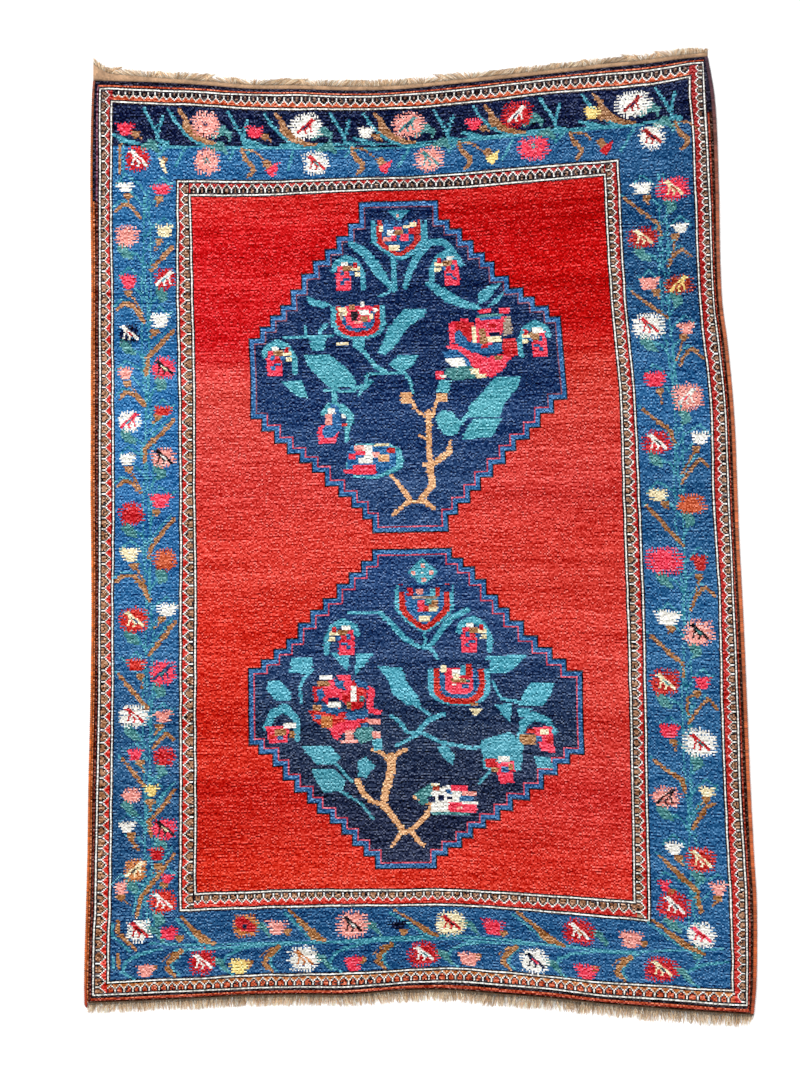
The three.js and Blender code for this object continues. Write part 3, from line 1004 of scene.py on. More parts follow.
    # Right bud, far-left bud and the low bud on the left
    hood(323, 190, -1, "magenta")
    bars((322, 180, 8, 3, "white"), (321, 184, 6, 4, "tan"))
    hood(136, 197, 1, "magenta")
    vines(
        "aqua",
        (5, (175, 218), (175, 231)),
        [(166, 236, 3), (172, 230, 5), (180, 232, 6), (187, 238, 5), (184, 246, 4), (183, 256, 3)],
    )
    leaf((163, 245), (172, 243), (178, 249), (175, 257), (163, 257), ink="magenta")
    leaf((172, 228), (178, 231), (180, 246), (174, 253), (167, 253), (166, 247), (173, 240), ink="sky")
    bars(
        (170, 232, 5, 4, "white"), (168, 236, 5, 8, "pink"), (180, 243, 4, 2, "red"),
        (180, 236, 3, 3, "white"),
    )
    # Bottom flower
    leaf(
        (189, 258), (214, 258), (222, 262), (225, 270), (222, 277), (206, 283), (188, 282), (183, 276),
        (184, 266),
    )
    leaf((187, 259), (213, 259), (219, 264), (219, 274), (205, 281), (184, 280), (184, 264), ink="blue")
    bars(
        (189, 259, 8, 4, "pink"), (185, 265, 5, 4, "magenta"), (190, 263, 6, 3, "magenta"),
        (196, 259, 6, 13, "white"), (202, 264, 5, 4, "pink"), (206, 266, 8, 5, "camel"),
        (213, 261, 5, 4, "red"), (188, 273, 16, 7, "magenta"), (192, 268, 5, 4, "white"),
        (203, 258, 11, 2, "cream"), (208, 273, 5, 3, "sky"), (181, 276, 8, 3, "magenta"),
    )


def lower_bush():
    """The flowering bush of the lower medallion."""
    # Trunk and twigs
    vines(
        "camel",
        [(212, 480, 6), (212, 490, 6), (209, 500, 6), (206, 513, 5.6), (211, 520, 4.4), (220, 532, 4)],
        (2.6, (199, 475), (206, 477), (210, 483)),
        (2.6, (213, 483), (217, 477), (223, 475)),
        [(188, 497, 4.4), (191, 504, 4), (198, 511, 3), (204, 513, 3)],
        [(219, 533, 3.4), (212, 543, 2.2)],
        [(226, 533, 3.6), (234, 543, 2.6)],
        [(221, 534, 3), (228, 530, 3.6), (236, 522, 3.4), (241, 514, 3), (228, 508, 3)],
    )
    # Stems
    vines(
        "aqua",
        [
            (184, 378, 2.6), (205, 378, 3), (214, 387, 4), (222, 396, 4), (233, 403, 2.6),
            (241, 404, 2.6), (246, 411, 2.4), (247, 416, 2),
        ],
        (2.6, (237, 391), (237, 404)),
        [(240, 403, 4), (249, 391, 4), (257, 382, 4), (268, 377, 4)],
        [(229, 465, 3), (239, 455, 3.4), (250, 450, 3)],
        (2.4, (229, 443), (240, 451)),
        (2.6, (212, 451), (218, 455), (224, 463), (235, 464), (247, 470), (270, 474), (283, 470)),
        (2.4, (216, 472), (231, 465)),
        (2, (285, 427), (288, 434), (291, 439), (305, 441)),
        (2.2, (157, 418), (150, 425), (148, 431), (149, 441)),
        (2.2, (172, 484), (184, 497)),
        (2, (176, 504), (190, 512), (199, 523)),
        (2, (282, 490), (274, 498)),
    )
    # Leaves
    leaf((203, 416), (220, 417), (224, 428), (232, 438), (234, 444), (224, 444), (214, 436), (210, 425))
    leaf((281, 409), (309, 408), (300, 418), (294, 421), (276, 421))
    leaf((312, 427), (329, 427), (326, 435), (320, 443), (303, 443), (307, 434))
    leaf((286, 443), (298, 442), (297, 456))
    leaf((302, 445), (313, 445), (309, 451), (303, 451))
    leaf((142, 409), (157, 409), (156, 421), (140, 420))
    leaf((126, 425), (134, 425), (142, 434), (142, 439), (131, 439), (124, 430))
    leaf((149, 472), (170, 472), (176, 481), (172, 485), (159, 485))
    leaf((155, 488), (172, 488), (180, 497), (177, 504), (164, 505), (158, 495))
    leaf((188, 483), (194, 480), (201, 486), (194, 495), (188, 494))
    leaf((245, 473), (252, 472), (257, 479), (256, 486), (249, 481))
    leaf((313, 478), (324, 478), (327, 486), (315, 486))
    leaf((170, 406), (184, 406), (182, 420))
    leaf((188, 407), (200, 407), (187, 423))
    leaf((199, 468), (206, 467), (206, 475), (200, 476))
    leaf((268, 446), (277, 446), (272, 452), ink="cream")
    # Diamond and top rose
    leaf((236, 340), (248, 350), (236, 360), (225, 350))
    bars(
        (235, 344, 3, 3, "pink"), (235, 354, 3, 3, "pink"), (228, 349, 3, 3, "pink"),
        (241, 349, 3, 3, "pink"), (235, 350, 2, 1, "white"),
    )
    cup(237, 376, 42, 34, True, "aqua", "red", "blue")
    cup(237, 375, 37, 33, True, "red", "sky", "blue")
    block(219, 359, 257, 364, "night")
    bars(
        (225, 361, 4, 6, "scarlet"), (231, 362, 5, 4, "pink"), (245, 361, 3, 6, "red"),
        (241, 362, 4, 8, "aqua"), (228, 367, 18, 2, "stone"), (232, 370, 5, 8, "magenta"),
        (240, 370, 7, 5, "tan"), (238, 369, 4, 4, "sage"), (240, 375, 6, 3, "cream"),
        (236, 374, 4, 4, "red"), (233, 381, 8, 4, "cream"), (229, 371, 2, 7, "sky"),
    )
    # Buds, one a side
    hood(178, 398, -1, "magenta")
    hood(272, 397, 1, "magenta")
    # Right rose
    cup(261, 429, 44, 30, False, "aqua", "red", "night")
    cup(261, 428, 37, 30, False, "red", "blue", "magenta")
    block(239, 412, 283, 418, "night")
    bars(
        (248, 416, 4, 5, "cream"), (256, 419, 6, 5, "white"), (262, 416, 4, 7, "aqua"),
        (266, 415, 4, 9, "red"), (255, 425, 11, 3, "tan"), (257, 422, 4, 4, "cream"),
        (252, 420, 3, 7, "magenta"), (263, 429, 5, 3, "blue"), (256, 429, 3, 1, "white"),
        (266, 426, 3, 2, "sage"), (268, 442, 6, 2, "tan"),
    )
    # Large rose
    leaf((163, 428), (173, 424), (180, 432), (178, 440), (168, 443), (160, 436), ink="magenta")
    leaf((157, 430), (165, 430), (166, 439), (158, 441), ink="scarlet")
    leaf((159, 433), (164, 431), (166, 437), (162, 441), ink="sky")
    leaf((178, 424), (190, 427), (196, 434), (192, 445), (184, 447), (178, 440), ink="scarlet")
    leaf((174, 422), (184, 422), (185, 430), (181, 437), (178, 430), ink="magenta")
    leaf((196, 430), (201, 431), (200, 446), (206, 447), (205, 450), (195, 449), ink="magenta")
    leaf((172, 425), (179, 426), (180, 433), (174, 431), ink="blue")
    leaf((186, 425), (195, 426), (197, 433), (189, 431), ink="blue")
    leaf(
        (155, 447), (168, 443), (178, 446), (186, 450), (195, 448), (196, 455), (188, 461), (178, 463),
        (166, 459), (157, 454), ink="red",
    )
    leaf(
        (160, 441), (170, 444), (184, 448), (196, 446), (196, 452), (186, 455), (172, 450), (160, 447),
        ink="blue",
    )
    leaf((176, 455), (192, 453), (188, 461), (176, 464), (168, 460), ink="magenta")
    leaf((169, 459), (177, 462), (175, 468), (171, 466), ink="magenta")
    leaf((187, 459), (200, 459), (199, 468), (191, 471), (187, 465), ink="sage")
    bars(
        (162, 422, 9, 3, "white"), (160, 426, 9, 4, "tan"), (168, 441, 9, 4, "white"),
        (168, 438, 8, 3, "navy"), (184, 430, 4, 11, "white"), (189, 431, 4, 5, "red"),
        (157, 443, 6, 4, "tan"), (163, 451, 8, 8, "ochre"), (175, 448, 5, 4, "scarlet"),
        (181, 441, 3, 5, "tan"), (196, 453, 9, 4, "pink"), (180, 461, 6, 7, "pink"),
        (199, 462, 6, 5, "pink"), (191, 456, 5, 3, "blue"), (177, 468, 12, 2, "pink"),
        (158, 450, 5, 3, "sky"), (172, 433, 4, 4, "magenta"), (190, 437, 3, 4, "sage"),
    )
    # Far buds
    ribbon([(124, 458, 5), (129, 448, 6), (137, 444, 6), (145, 452, 5), (146, 467, 4)], "aqua")
    leaf((124, 457), (140, 457), (139, 469), (126, 469), ink="magenta")
    bars(
        (130, 459, 8, 5, "tan"), (136, 455, 9, 4, "white"), (140, 461, 4, 5, "tan"),
        (126, 463, 4, 3, "red"), (132, 464, 4, 3, "blue"),
    )
    ribbon([(303, 466, 5), (306, 456, 6), (314, 450, 6), (323, 453, 5), (328, 461, 4)], "aqua")
    leaf((313, 458), (326, 457), (328, 475), (318, 474), ink="magenta")
    bars(
        (303, 463, 12, 7, "tan"), (318, 459, 6, 4, "cream"), (322, 464, 5, 5, "scarlet"),
        (309, 459, 6, 3, "red"), (315, 464, 4, 4, "blue"),
    )
    leaf((276, 468), (296, 462), (306, 470), (304, 488), (292, 490), (277, 488))
    leaf((286, 484), (299, 482), (298, 497), (289, 498), ink="magenta")
    bars(
        (279, 481, 8, 6, "scarlet"), (288, 479, 8, 4, "white"), (290, 486, 5, 4, "blue"),
        (283, 487, 5, 3, "tan"), (295, 484, 3, 4, "tan"),
    )
    # Bottom flower
    leaf((228, 506), (240, 499), (246, 503), (243, 511), (233, 514), ink="sage")
    leaf((240, 505), (252, 500), (262, 505), (258, 516), (252, 520), (240, 519), ink="white")
    bars(
        (254, 500, 12, 4, "magenta"), (262, 504, 10, 3, "pink"), (260, 507, 10, 4, "blue"),
        (252, 512, 20, 7, "magenta"), (241, 501, 5, 3, "rust"), (245, 507, 4, 4, "navy"),
        (238, 508, 5, 4, "navy"), (251, 508, 4, 2, "navy"), (262, 511, 11, 2, "white"),
        (241, 519, 27, 2, "sage"), (240, 499, 6, 2, "cream"), (250, 503, 4, 3, "sky"),
        (258, 515, 4, 2, "pink"),
    )


def wobble(mask, share):
    """Unevenness of the knotting: a share of the short runs of knots in each row stands one knot
    to the left or right of where the drawing has it."""
    run = np.arange(COLUMNS) // 5
    odds = [share / 2, 1 - share, share / 2]
    shift = chance.choice([-1, 0, 1], p=odds, size=(ROWS, run.max() + 1))[:, run]
    at = np.clip(np.arange(COLUMNS)[None] + shift, 0, COLUMNS - 1)
    chart[mask] = np.take_along_axis(chart, at, axis=1)[mask]


def border_ground():
    """The knots of the broad border, between its own white lines and the inner guard's."""
    mask = np.zeros(chart.shape, bool)
    mask[BORDER["top"] + 3:BORDER["bottom"] - 2, BORDER["left"] + 3:BORDER["right"] - 2] = True
    mask[INNER["top"] - 2:INNER["bottom"] + 3, INNER["left"] - 2:INNER["right"] + 3] = False
    return mask


# The drawing, from the ground up

rims_and_guards()
upper_border()
side_border(40, LEFT_FLOWERS, LEFT_BUDS, LEFT_LEAVES)
side_border(422, RIGHT_FLOWERS, RIGHT_BUDS, RIGHT_LEAVES)
lower_border()
upper_ground = medallion(84, UPPER_LEFT_EDGE, UPPER_RIGHT_EDGE)
lower_ground = medallion(333, LOWER_LEFT_EDGE, LOWER_RIGHT_EDGE)
upper_bush()
lower_bush()
wobble(border_ground(), 0.2)
wobble(upper_ground | lower_ground, 0.12)
for left, top, bird, wing, mirrored in perches:
    stitch(BIRD, left, top, {"b": bird, "i": wing}, mirrored)


# Dyed wool: each knot's own colour

# Wools that change along the rug, as one batch of dye gives way to the next: the chart's row,
# and the red, green and blue there on the left and on the right
ABRASH = {
    "field": [
        (80, (196, 40, 36), (170, 2, 0)), (100, (196, 20, 24), (160, -10, -10)),
        (118, (193, 18, 24), (168, -10, -10)), (134, (200, 32, 36), (176, -10, -12)),
        (150, (196, 24, 30), (160, -14, -16)), (182, (196, 20, 28), (168, -2, -6)),
        (198, (203, 46, 48), (174, 26, 14)), (214, (204, 66, 60), (191, 47, 36)),
        (246, (203, 66, 60), (194, 52, 43)), (278, (206, 61, 55), (192, 49, 43)),
        (294, (198, 52, 46), (190, 48, 43)), (326, (206, 54, 44), (196, 50, 42)),
        (358, (203, 50, 38), (194, 52, 44)), (382, (197, 34, 20), (200, 56, 48)),
        (438, (190, 28, 12), (202, 62, 55)), (486, (188, 25, 8), (196, 54, 50)),
        (502, (180, 17, 6), (196, 48, 46)), (538, (179, 22, 6), (208, 57, 50)),
        (552, (191, 27, 8), (206, 50, 42)), (573, (195, 36, 14), (210, 58, 48)),
    ],
    "night": [
        (84, (15, 38, 80), (14, 33, 72)), (190, (16, 39, 79), (14, 34, 73)),
        (235, (26, 53, 97), (23, 49, 92)), (292, (37, 64, 103), (34, 60, 103)),
        (350, (42, 75, 123), (40, 66, 110)), (408, (33, 58, 98), (35, 57, 96)),
        (465, (29, 43, 69), (29, 43, 72)), (523, (25, 31, 56), (27, 37, 64)),
    ],
    "blue": [
        (60, (38, 96, 145), (28, 72, 115)), (155, (33, 90, 138), (22, 64, 104)),
        (230, (42, 106, 161), (38, 90, 138)), (300, (41, 99, 153), (35, 80, 122)),
        (370, (38, 94, 143), (38, 90, 136)), (446, (40, 83, 124), (38, 88, 132)),
        (520, (33, 75, 115), (38, 90, 136)), (647, (27, 71, 115), (33, 83, 130)),
    ],
    "sky": [(84, (52, 106, 160), (46, 98, 150)), (559, (44, 92, 140), (44, 92, 140))],
    "aqua": [
        (84, (66, 144, 168), (60, 130, 152)), (186, (74, 152, 168), (68, 142, 160)),
        (236, (82, 154, 166), (82, 162, 176)), (430, (78, 155, 176), (74, 156, 176)),
        (520, (76, 145, 158), (66, 130, 148)),
    ],
    "red": [
        (5, (156, 38, 36), (140, 28, 28)), (130, (186, 40, 36), (160, 34, 32)),
        (647, (196, 44, 30), (182, 40, 34)),
    ],
    "fawn": [
        (5, (124, 92, 76), (112, 84, 70)), (150, (160, 116, 88), (146, 106, 82)),
        (647, (156, 108, 76), (156, 112, 84)),
    ],
    "tan": [(5, (158, 112, 78), (140, 98, 66)), (647, (156, 106, 64), (150, 102, 60))],
}

# The fleck of the pile, in shares: grey added to or taken from each knot, partly the wool's own
# unevenness and partly painted highlight and shade on the hair tips. Its parts: single knots, runs
# of knots in a row, what a knot gives up to the row above and to the row below, whole rows, and
# broad drifts
FLECK_AND_SHEEN = {"knot": 0.94, "run": 0.36, "row_by_row": 0.26, "row": 0.12, "drift": 0.30}
FLECK_AND_SHEEN_RUN = 12                     # knots
FLECK_AND_SHEEN_DEPTH = 35                   # in steps of 255
FLECK_AND_SHEEN_MOST = 2.2
ROW_JITTER = 3.5                   # rows by which the abrash wanders, in most rows


def runs(length):
    """Level streaks over the chart, about -1 to 1: each knot has the mean of a run of random
    values in its own row."""
    noise = chance.normal(size=(ROWS, COLUMNS + length))
    sums = np.cumsum(noise, axis=1)
    return (sums[:, length:] - sums[:, :-length]) / math.sqrt(length)


def blended(at, stops, colours):
    """Red, green and blue at each place, straight between the stops of a table."""
    return np.stack([np.interp(at, stops, part) for part in zip(*colours)], axis=-1)


def knot_colours():
    """Red, green and blue of every knot, from 0 to 1 as seen on a screen. The wool is uneven,
    and painted highlight and shade lie on it: knots and short runs of knots are paler or deeper
    than their dye."""
    colours = np.array(list(DYES.values()), float)[chart]
    jitter = ROW_JITTER * chance.normal(size=ROWS) * (chance.uniform(size=ROWS) < 0.6)
    rows = np.arange(ROWS) + 0.5 + jitter
    share = ((np.arange(COLUMNS) + 0.5) / COLUMNS)[None, :, None]
    for name, table in ABRASH.items():
        stops, left, right = zip(*table)
        left, right = blended(rows, stops, left)[:, None], blended(rows, stops, right)[:, None]
        knots = chart == INK[name]
        colours[knots] = (left * (1 - share) + right * share)[knots]
    # Paler and deeper knots: partly the wool's own fleck, partly painted highlight and shade
    fleck_and_sheen = FLECK_AND_SHEEN["knot"] * chance.normal(size=chart.shape) + FLECK_AND_SHEEN["run"] * runs(FLECK_AND_SHEEN_RUN)
    fleck_and_sheen -= FLECK_AND_SHEEN["row_by_row"] * (np.roll(fleck_and_sheen, 1, axis=0) + np.roll(fleck_and_sheen, -1, axis=0))
    whole_rows = FLECK_AND_SHEEN["row"] * chance.normal(size=(ROWS, 1))
    fleck_and_sheen += whole_rows + FLECK_AND_SHEEN["drift"] * drift(chart.shape, (70, 6))
    colours = colours + FLECK_AND_SHEEN_DEPTH * fleck_and_sheen.clip(-FLECK_AND_SHEEN_MOST, FLECK_AND_SHEEN_MOST)[..., None]
    return np.clip(colours / 255, 0, 1)


# Meshes

def shape_mesh(name, points, quads, caps=(), colours=None, maps=None, flat_from=None):
    """A mesh from an array of points in metres, quads as rows of four point numbers, and caps,
    which are single faces of many corners. colours has a row for each quad, and each map a pair
    for each corner of each quad. A cap takes the colour and the map place of the first quad.
    Faces are shaded smooth as far as the face flat_from, and flat past it."""
    caps = [np.asarray(cap, np.int32) for cap in caps]
    corners = np.concatenate([quads.ravel(), *caps]).astype(np.int32)
    sizes = np.array([4] * len(quads) + [len(cap) for cap in caps], np.int32)
    spare = len(corners) - quads.size
    mesh = bpy.data.meshes.new(name)
    mesh.vertices.add(len(points))
    mesh.vertices.foreach_set("co", np.asarray(points, np.float32).ravel())
    mesh.loops.add(len(corners))
    mesh.loops.foreach_set("vertex_index", corners)
    mesh.polygons.add(len(sizes))
    starts = np.concatenate([[0], np.cumsum(sizes)[:-1]]).astype(np.int32)
    mesh.polygons.foreach_set("loop_start", starts)
    mesh.update(calc_edges=True)
    flat = np.arange(len(sizes)) >= (len(quads) if flat_from is None else flat_from)
    mesh.polygons.foreach_set("use_smooth", ~flat)
    edge_of = np.zeros(len(corners), np.int32)
    mesh.loops.foreach_get("edge_index", edge_of)
    sharp = np.zeros(len(mesh.edges), bool)
    sharp[edge_of[np.repeat(flat, sizes)]] = True
    mesh.edges.foreach_set("use_edge_sharp", sharp)
    if colours is not None:
        values = np.ones((len(corners), 4), np.float32)
        values[:quads.size, :3] = np.repeat(colours, 4, axis=0)
        values[quads.size:, :3] = colours[0]
        layer = mesh.color_attributes.new("dye", "BYTE_COLOR", "CORNER")
        layer.data.foreach_set("color_srgb", values.ravel())
    for map_name, pairs in (maps or {}).items():
        layer = mesh.uv_layers.new(name=map_name)
        pairs = pairs.reshape(-1, 2)
        values = np.concatenate([pairs, np.repeat(pairs[:1], spare, axis=0)])
        layer.uv.foreach_set("vector", values.astype(np.float32).ravel())
    mesh.validate()
    piece = bpy.data.objects.new(name, mesh)
    bpy.context.scene.collection.objects.link(piece)
    return piece


def grid_quads(rows, columns, wrap=False):
    """Quads of a grid of points, row after row. With wrap, the last column joins the first."""
    r, c = np.meshgrid(np.arange(rows - 1), np.arange(columns if wrap else columns - 1), indexing="ij")
    right = (c + 1) % columns
    here, below = r * columns, (r + 1) * columns
    return np.stack([here + c, below + c, below + right, here + right], -1)


def corner_places(rows, columns):
    """The grid place, across and down, of the four corners of each quad of a grid."""
    r, c = np.meshgrid(np.arange(rows - 1.0), np.arange(columns - 1.0), indexing="ij")
    across = np.stack([c, c, c + 1, c + 1], -1)
    down = np.stack([r, r + 1, r + 1, r], -1)
    return across, down


MARGIN = 0.006                     # round each length of a folded map


def folded(across, down, folds):
    """A long strip's map, cut into equal lengths that lie side by side in a square. across and
    down run from 0 to 1, and a quad belongs where its middle lies."""
    part = np.clip(np.floor(down.mean(-1, keepdims=True) * folds), 0, folds - 1)
    u = (part + MARGIN + across * (1 - 2 * MARGIN)) / folds
    v = MARGIN + (1 - 2 * MARGIN) * (down * folds - part)
    return np.stack([u, 1 - v], -1)


def ring_around(rows, columns):
    """The border points of a grid, in order round it: down its left side first."""
    number = np.arange(rows * columns).reshape(rows, columns)
    return np.concatenate([number[:-1, 0], number[-1, :-1], number[:0:-1, -1], number[0, :0:-1]])


def walled(values, rows, columns):
    """Values of a grid's faces, and after them those of the faces beside each wall round it."""
    face = np.arange((rows - 1) * (columns - 1)).reshape(rows - 1, columns - 1)
    beside = np.concatenate([face[:, 0], face[-1, :], face[::-1, -1], face[0, ::-1]])
    return np.concatenate([values, values[beside]])


# The knotted body

# Millimetres by which the knots wander and rise: slowly over the rug, and each for itself
WANDER = {"slow": 0.9, "knot": 0.28}
UNEVEN = {"slow": 0.25, "knot": 0.26}
HELD_KNOTS = 6                     # from the rug's edge, where the wander fades out
ROUNDING = (2.3, 0.5)              # of the pile at the edge, and one knot in


def body_places():
    """x and y of every corner between knots, with the small wander of a hand-beaten weave, and
    the height of the clipped pile there. At the rug's own edge the pile is rounded over."""
    row, column = np.meshgrid(np.arange(ROWS + 1), np.arange(COLUMNS + 1), indexing="ij")
    x, y = place(column, row)
    inner = np.minimum.reduce([column, COLUMNS - column, row, ROWS - row])
    free = np.clip(inner / HELD_KNOTS, 0, 1)
    shape = x.shape
    slow, knot = WANDER["slow"], WANDER["knot"]
    x = x + free * (slow * drift(shape, (52, 37)) + knot * chance.normal(size=shape))
    y = y + free * (slow * drift(shape, (46, 33)) + knot * chance.normal(size=shape))
    swell = np.sin(2 * math.pi * x / SWELL["across"] + 1) * np.sin(2 * math.pi * y / SWELL["along"] + 1)
    rounding = np.select([inner == 0, inner == 1], ROUNDING, 0.0)
    z = PILE_TOP + SWELL["rise"] * swell * free + UNEVEN["slow"] * drift(shape, (90, 65))
    z = z + UNEVEN["knot"] * chance.normal(size=shape).clip(-2, 2) - rounding
    return x, y, z


def shift_to_frame(x, y):
    """How far the tables' middle lies from the rug's: the corner of the solid body's box
    against that of the outline."""
    low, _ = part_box("pile_rug")
    return low[0] / MM - x.min(), low[1] / MM - y.min()


body_x, body_y, body_z = body_places()
SHIFT = shift_to_frame(body_x, body_y)
KNOTS = knot_colours()

# Names of the lengths that the pile is made in, and the columns where each begins and ends
PILE_PARTS = {
    "pile_border_left": (0, 73),
    "pile_field_left": (73, 176),
    "pile_field_middle": (176, 279),
    "pile_field_right": (279, 382),
    "pile_border_right": (382, COLUMNS),
}


def pile_part(name, first, last):
    """One length of pile: a face for each knot on top, walls down to the foundation all round
    and a flat underside."""
    cut = slice(first, last + 1)
    rows, columns = ROWS + 1, last + 1 - first
    top = np.stack([body_x[:, cut] + SHIFT[0], body_y[:, cut] + SHIFT[1], body_z[:, cut]], -1)
    top = top.reshape(-1, 3)
    ring = ring_around(rows, columns)
    foot = top[ring].copy()
    foot[:, 2] = FOUNDATION
    points = np.concatenate([top, foot]) * MM
    below = len(top) + np.arange(len(ring))
    walls = np.stack([ring, below, np.roll(below, -1), np.roll(ring, -1)], -1)
    quads = np.concatenate([grid_quads(rows, columns).reshape(-1, 4), walls])

    across, down = corner_places(rows, columns)
    knots = np.stack([across + first, ROWS - down], -1).reshape(-1, 4, 2)
    bake = folded(across / (columns - 1), down / (rows - 1), 3).reshape(-1, 4, 2)
    maps = {"knots": walled(knots, rows, columns), "OFBake": walled(bake, rows, columns)}
    colours = walled(KNOTS[:, first:last].reshape(-1, 3), rows, columns)
    return shape_mesh(name, points, quads, [below[::-1]], colours, maps, len(quads) - len(walls))


BACK_COLUMNS, BACK_ROWS = 2, 3     # knots to a face of the back
BACK_RISE = 0.12                   # half of how much the back's corners differ in height
BACK_MARGIN = 0.005                # round the back's map
BACK_TONE = 0.94                   # of the back's colours against the face's


def foundation_piece():
    """The woven body under the pile, closed all round. Each face of its underside is two knots
    wide and three long, because the back shows the same pattern, flat and crisp."""
    row_at = np.append(np.arange(0, ROWS, BACK_ROWS), ROWS)
    col_at = np.arange(0, COLUMNS + 1, BACK_COLUMNS)
    x, y = body_x[np.ix_(row_at, col_at)] + SHIFT[0], body_y[np.ix_(row_at, col_at)] + SHIFT[1]
    rows, columns = x.shape
    rim = np.zeros((rows, columns, 2))
    rim[:, 0, 0], rim[:, -1, 0], rim[0, :, 1], rim[-1, :, 1] = 1, -1, -1, 1
    back = np.stack([
        x + rim[..., 0] * FOOT_INSET,
        y + rim[..., 1] * FOOT_INSET,
        BACK_RISE + BACK_RISE * chance.uniform(-1, 1, x.shape),
    ], -1)
    back[..., 2][np.any(rim != 0, axis=-1)] = 0.0
    back = back.reshape(-1, 3)
    ring = ring_around(rows, columns)
    upper = np.stack([x, y, np.full_like(x, FOUNDATION)], -1).reshape(-1, 3)[ring]
    points = np.concatenate([back, upper]) * MM
    above = len(back) + np.arange(len(ring))
    walls = np.stack([above, ring, np.roll(ring, -1), np.roll(above, -1)], -1)
    under = grid_quads(rows, columns)[..., ::-1].reshape(-1, 4)
    quads = np.concatenate([under, walls])

    across, down = (part[..., ::-1] for part in corner_places(rows, columns))
    knots = np.stack([across * BACK_COLUMNS, ROWS - down * BACK_ROWS], -1).reshape(-1, 4, 2)
    bake = np.stack([across / (columns - 1), 1 - down / (rows - 1)], -1).reshape(-1, 4, 2)
    bake = bake * (1 - 2 * BACK_MARGIN) + BACK_MARGIN
    maps = {"knots": walled(knots, rows, columns), "OFBake": walled(bake, rows, columns)}
    colours = KNOTS[row_at[:-1]][:, col_at[:-1]].reshape(-1, 3)
    colours = walled(np.clip(colours * BACK_TONE, 0, 1), rows, columns)
    return shape_mesh("foundation", points, quads, [above], colours, maps, len(under))


# The selvedges

WRAP_PITCH = 4.4                   # of the overcasting yarn, along the side
WRAP_STEPS = 4
CORD_SIDES = 8
LEFT_KNOB = 13.0                   # the left selvedge ends in a bound knob past the lower end
KNOB = {"stouter": 0.35, "turned_in": 1.6}
CORD = {"swell": 0.45, "uneven": 0.16, "spare": 1.0}

# Wool of the overcasting along each side: the share of the side from its upper end, and the
# red, green and blue there, from 0 to 255
LEFT_WOOLS = [
    (0.00, 128, 72, 58), (0.05, 150, 82, 48), (0.12, 168, 86, 38), (0.30, 184, 98, 44),
    (0.50, 180, 92, 36), (0.80, 180, 90, 36), (0.97, 176, 86, 38), (0.985, 162, 62, 30),
    (1.00, 140, 44, 26),
]
RIGHT_WOOLS = [
    (0.00, 66, 46, 58), (0.03, 76, 48, 56), (0.08, 106, 64, 56), (0.15, 142, 78, 56),
    (0.30, 160, 88, 56), (0.60, 170, 90, 54), (0.80, 174, 88, 50), (0.95, 170, 82, 42),
    (1.00, 150, 64, 38),
]


def wool_along(at, wools):
    """Red, green and blue, from 0 to 1, at each place of a side or web, by a table of wools."""
    return blended(at, [stop[0] for stop in wools], [stop[1:] for stop in wools]) / 255


def selvedge(name, cord, side, inward, first, last, wools, knob=0.0):
    """The edge warps overcast with yarn: a flattened cord along the side. Its radius swells and
    sinks once a wrap, and the swell winds round the cord as it runs. The sides are first and
    last in y, and a knob lengthens the lower end by a rounded, turned-in stop."""
    length = first - last + knob
    wraps = int(length / WRAP_PITCH)
    steps = wraps * WRAP_STEPS
    share = np.linspace(0, 1, steps + 1)[:, None]
    turn = np.arange(CORD_SIDES)[None] / CORD_SIDES
    angle = 2 * math.pi * turn
    y = first - share * length
    wide = cord["width"] + CORD["spare"]
    middle = side(y) + inward * (cord["width"] - wide / 2)
    wrap = share * wraps - turn
    ridge = CORD["swell"] * np.cos(2 * math.pi * wrap) - CORD["swell"]
    uneven = CORD["uneven"] * drift((steps + 1, CORD_SIDES), (260, 3))
    past = np.clip((last - y) / knob, 0, 1) if knob else np.zeros_like(y)
    bound = 1 + KNOB["stouter"] * np.sin(math.pi * past) * (past > 0)
    stout = np.sqrt(np.clip(1 - past ** 3, 0.02, 1)) * bound
    reach = (ridge + uneven) * stout
    x = middle + inward * past * KNOB["turned_in"] + (wide / 2 * stout + reach) * np.cos(angle)
    z = cord["height"] / 2 + (cord["height"] / 2 * stout + reach) * np.sin(angle)
    points = np.stack([x + SHIFT[0], y + SHIFT[1] + 0 * x, np.maximum(z, 0)], -1).reshape(-1, 3) * MM
    quads = grid_quads(steps + 1, CORD_SIDES, wrap=True)[..., ::-1].reshape(-1, 4)
    wool = wool_along((np.arange(steps) + 0.5) / steps, wools)
    each_wrap = np.repeat(chance.normal(size=(wraps, 1)), WRAP_STEPS, axis=0)
    # Painted shade in the groove from each wrap to the next
    groove_shade = 0.12 * np.cos(2 * math.pi * np.arange(steps) / WRAP_STEPS)[:, None]
    wool = wool * (1 + groove_shade + 0.10 * each_wrap + 0.07 * drift((steps, 1), (90, 1)))
    colours = np.repeat(np.clip(wool, 0, 1)[:, None], CORD_SIDES, axis=1).reshape(-1, 3)
    c, r = corner_places(steps + 1, CORD_SIDES + 1)
    c, r = c[..., ::-1], r[..., ::-1]
    maps = {
        "wraps": np.stack([c / CORD_SIDES, r / WRAP_STEPS], -1).reshape(-1, 4, 2),
        "OFBake": folded(c / CORD_SIDES, r / steps, 10).reshape(-1, 4, 2),
    }
    ends = [np.arange(CORD_SIDES), len(points) - 1 - np.arange(CORD_SIDES)]
    return shape_mesh(name, points, quads, ends, colours, maps)


# The ends: a narrow web, and the warps that leave it

WEB = {"thickness": 3.0, "upper": 12.0, "lower": 5.0, "columns": 420, "steps": 7}

# How the webs' surface sinks between wefts, swells, is rounded at its rims and is worn along them
WEB_FORM = {"flat": 0.86, "ripple": 0.22, "lump": 0.25, "rim": 0.9, "worn": 0.8}

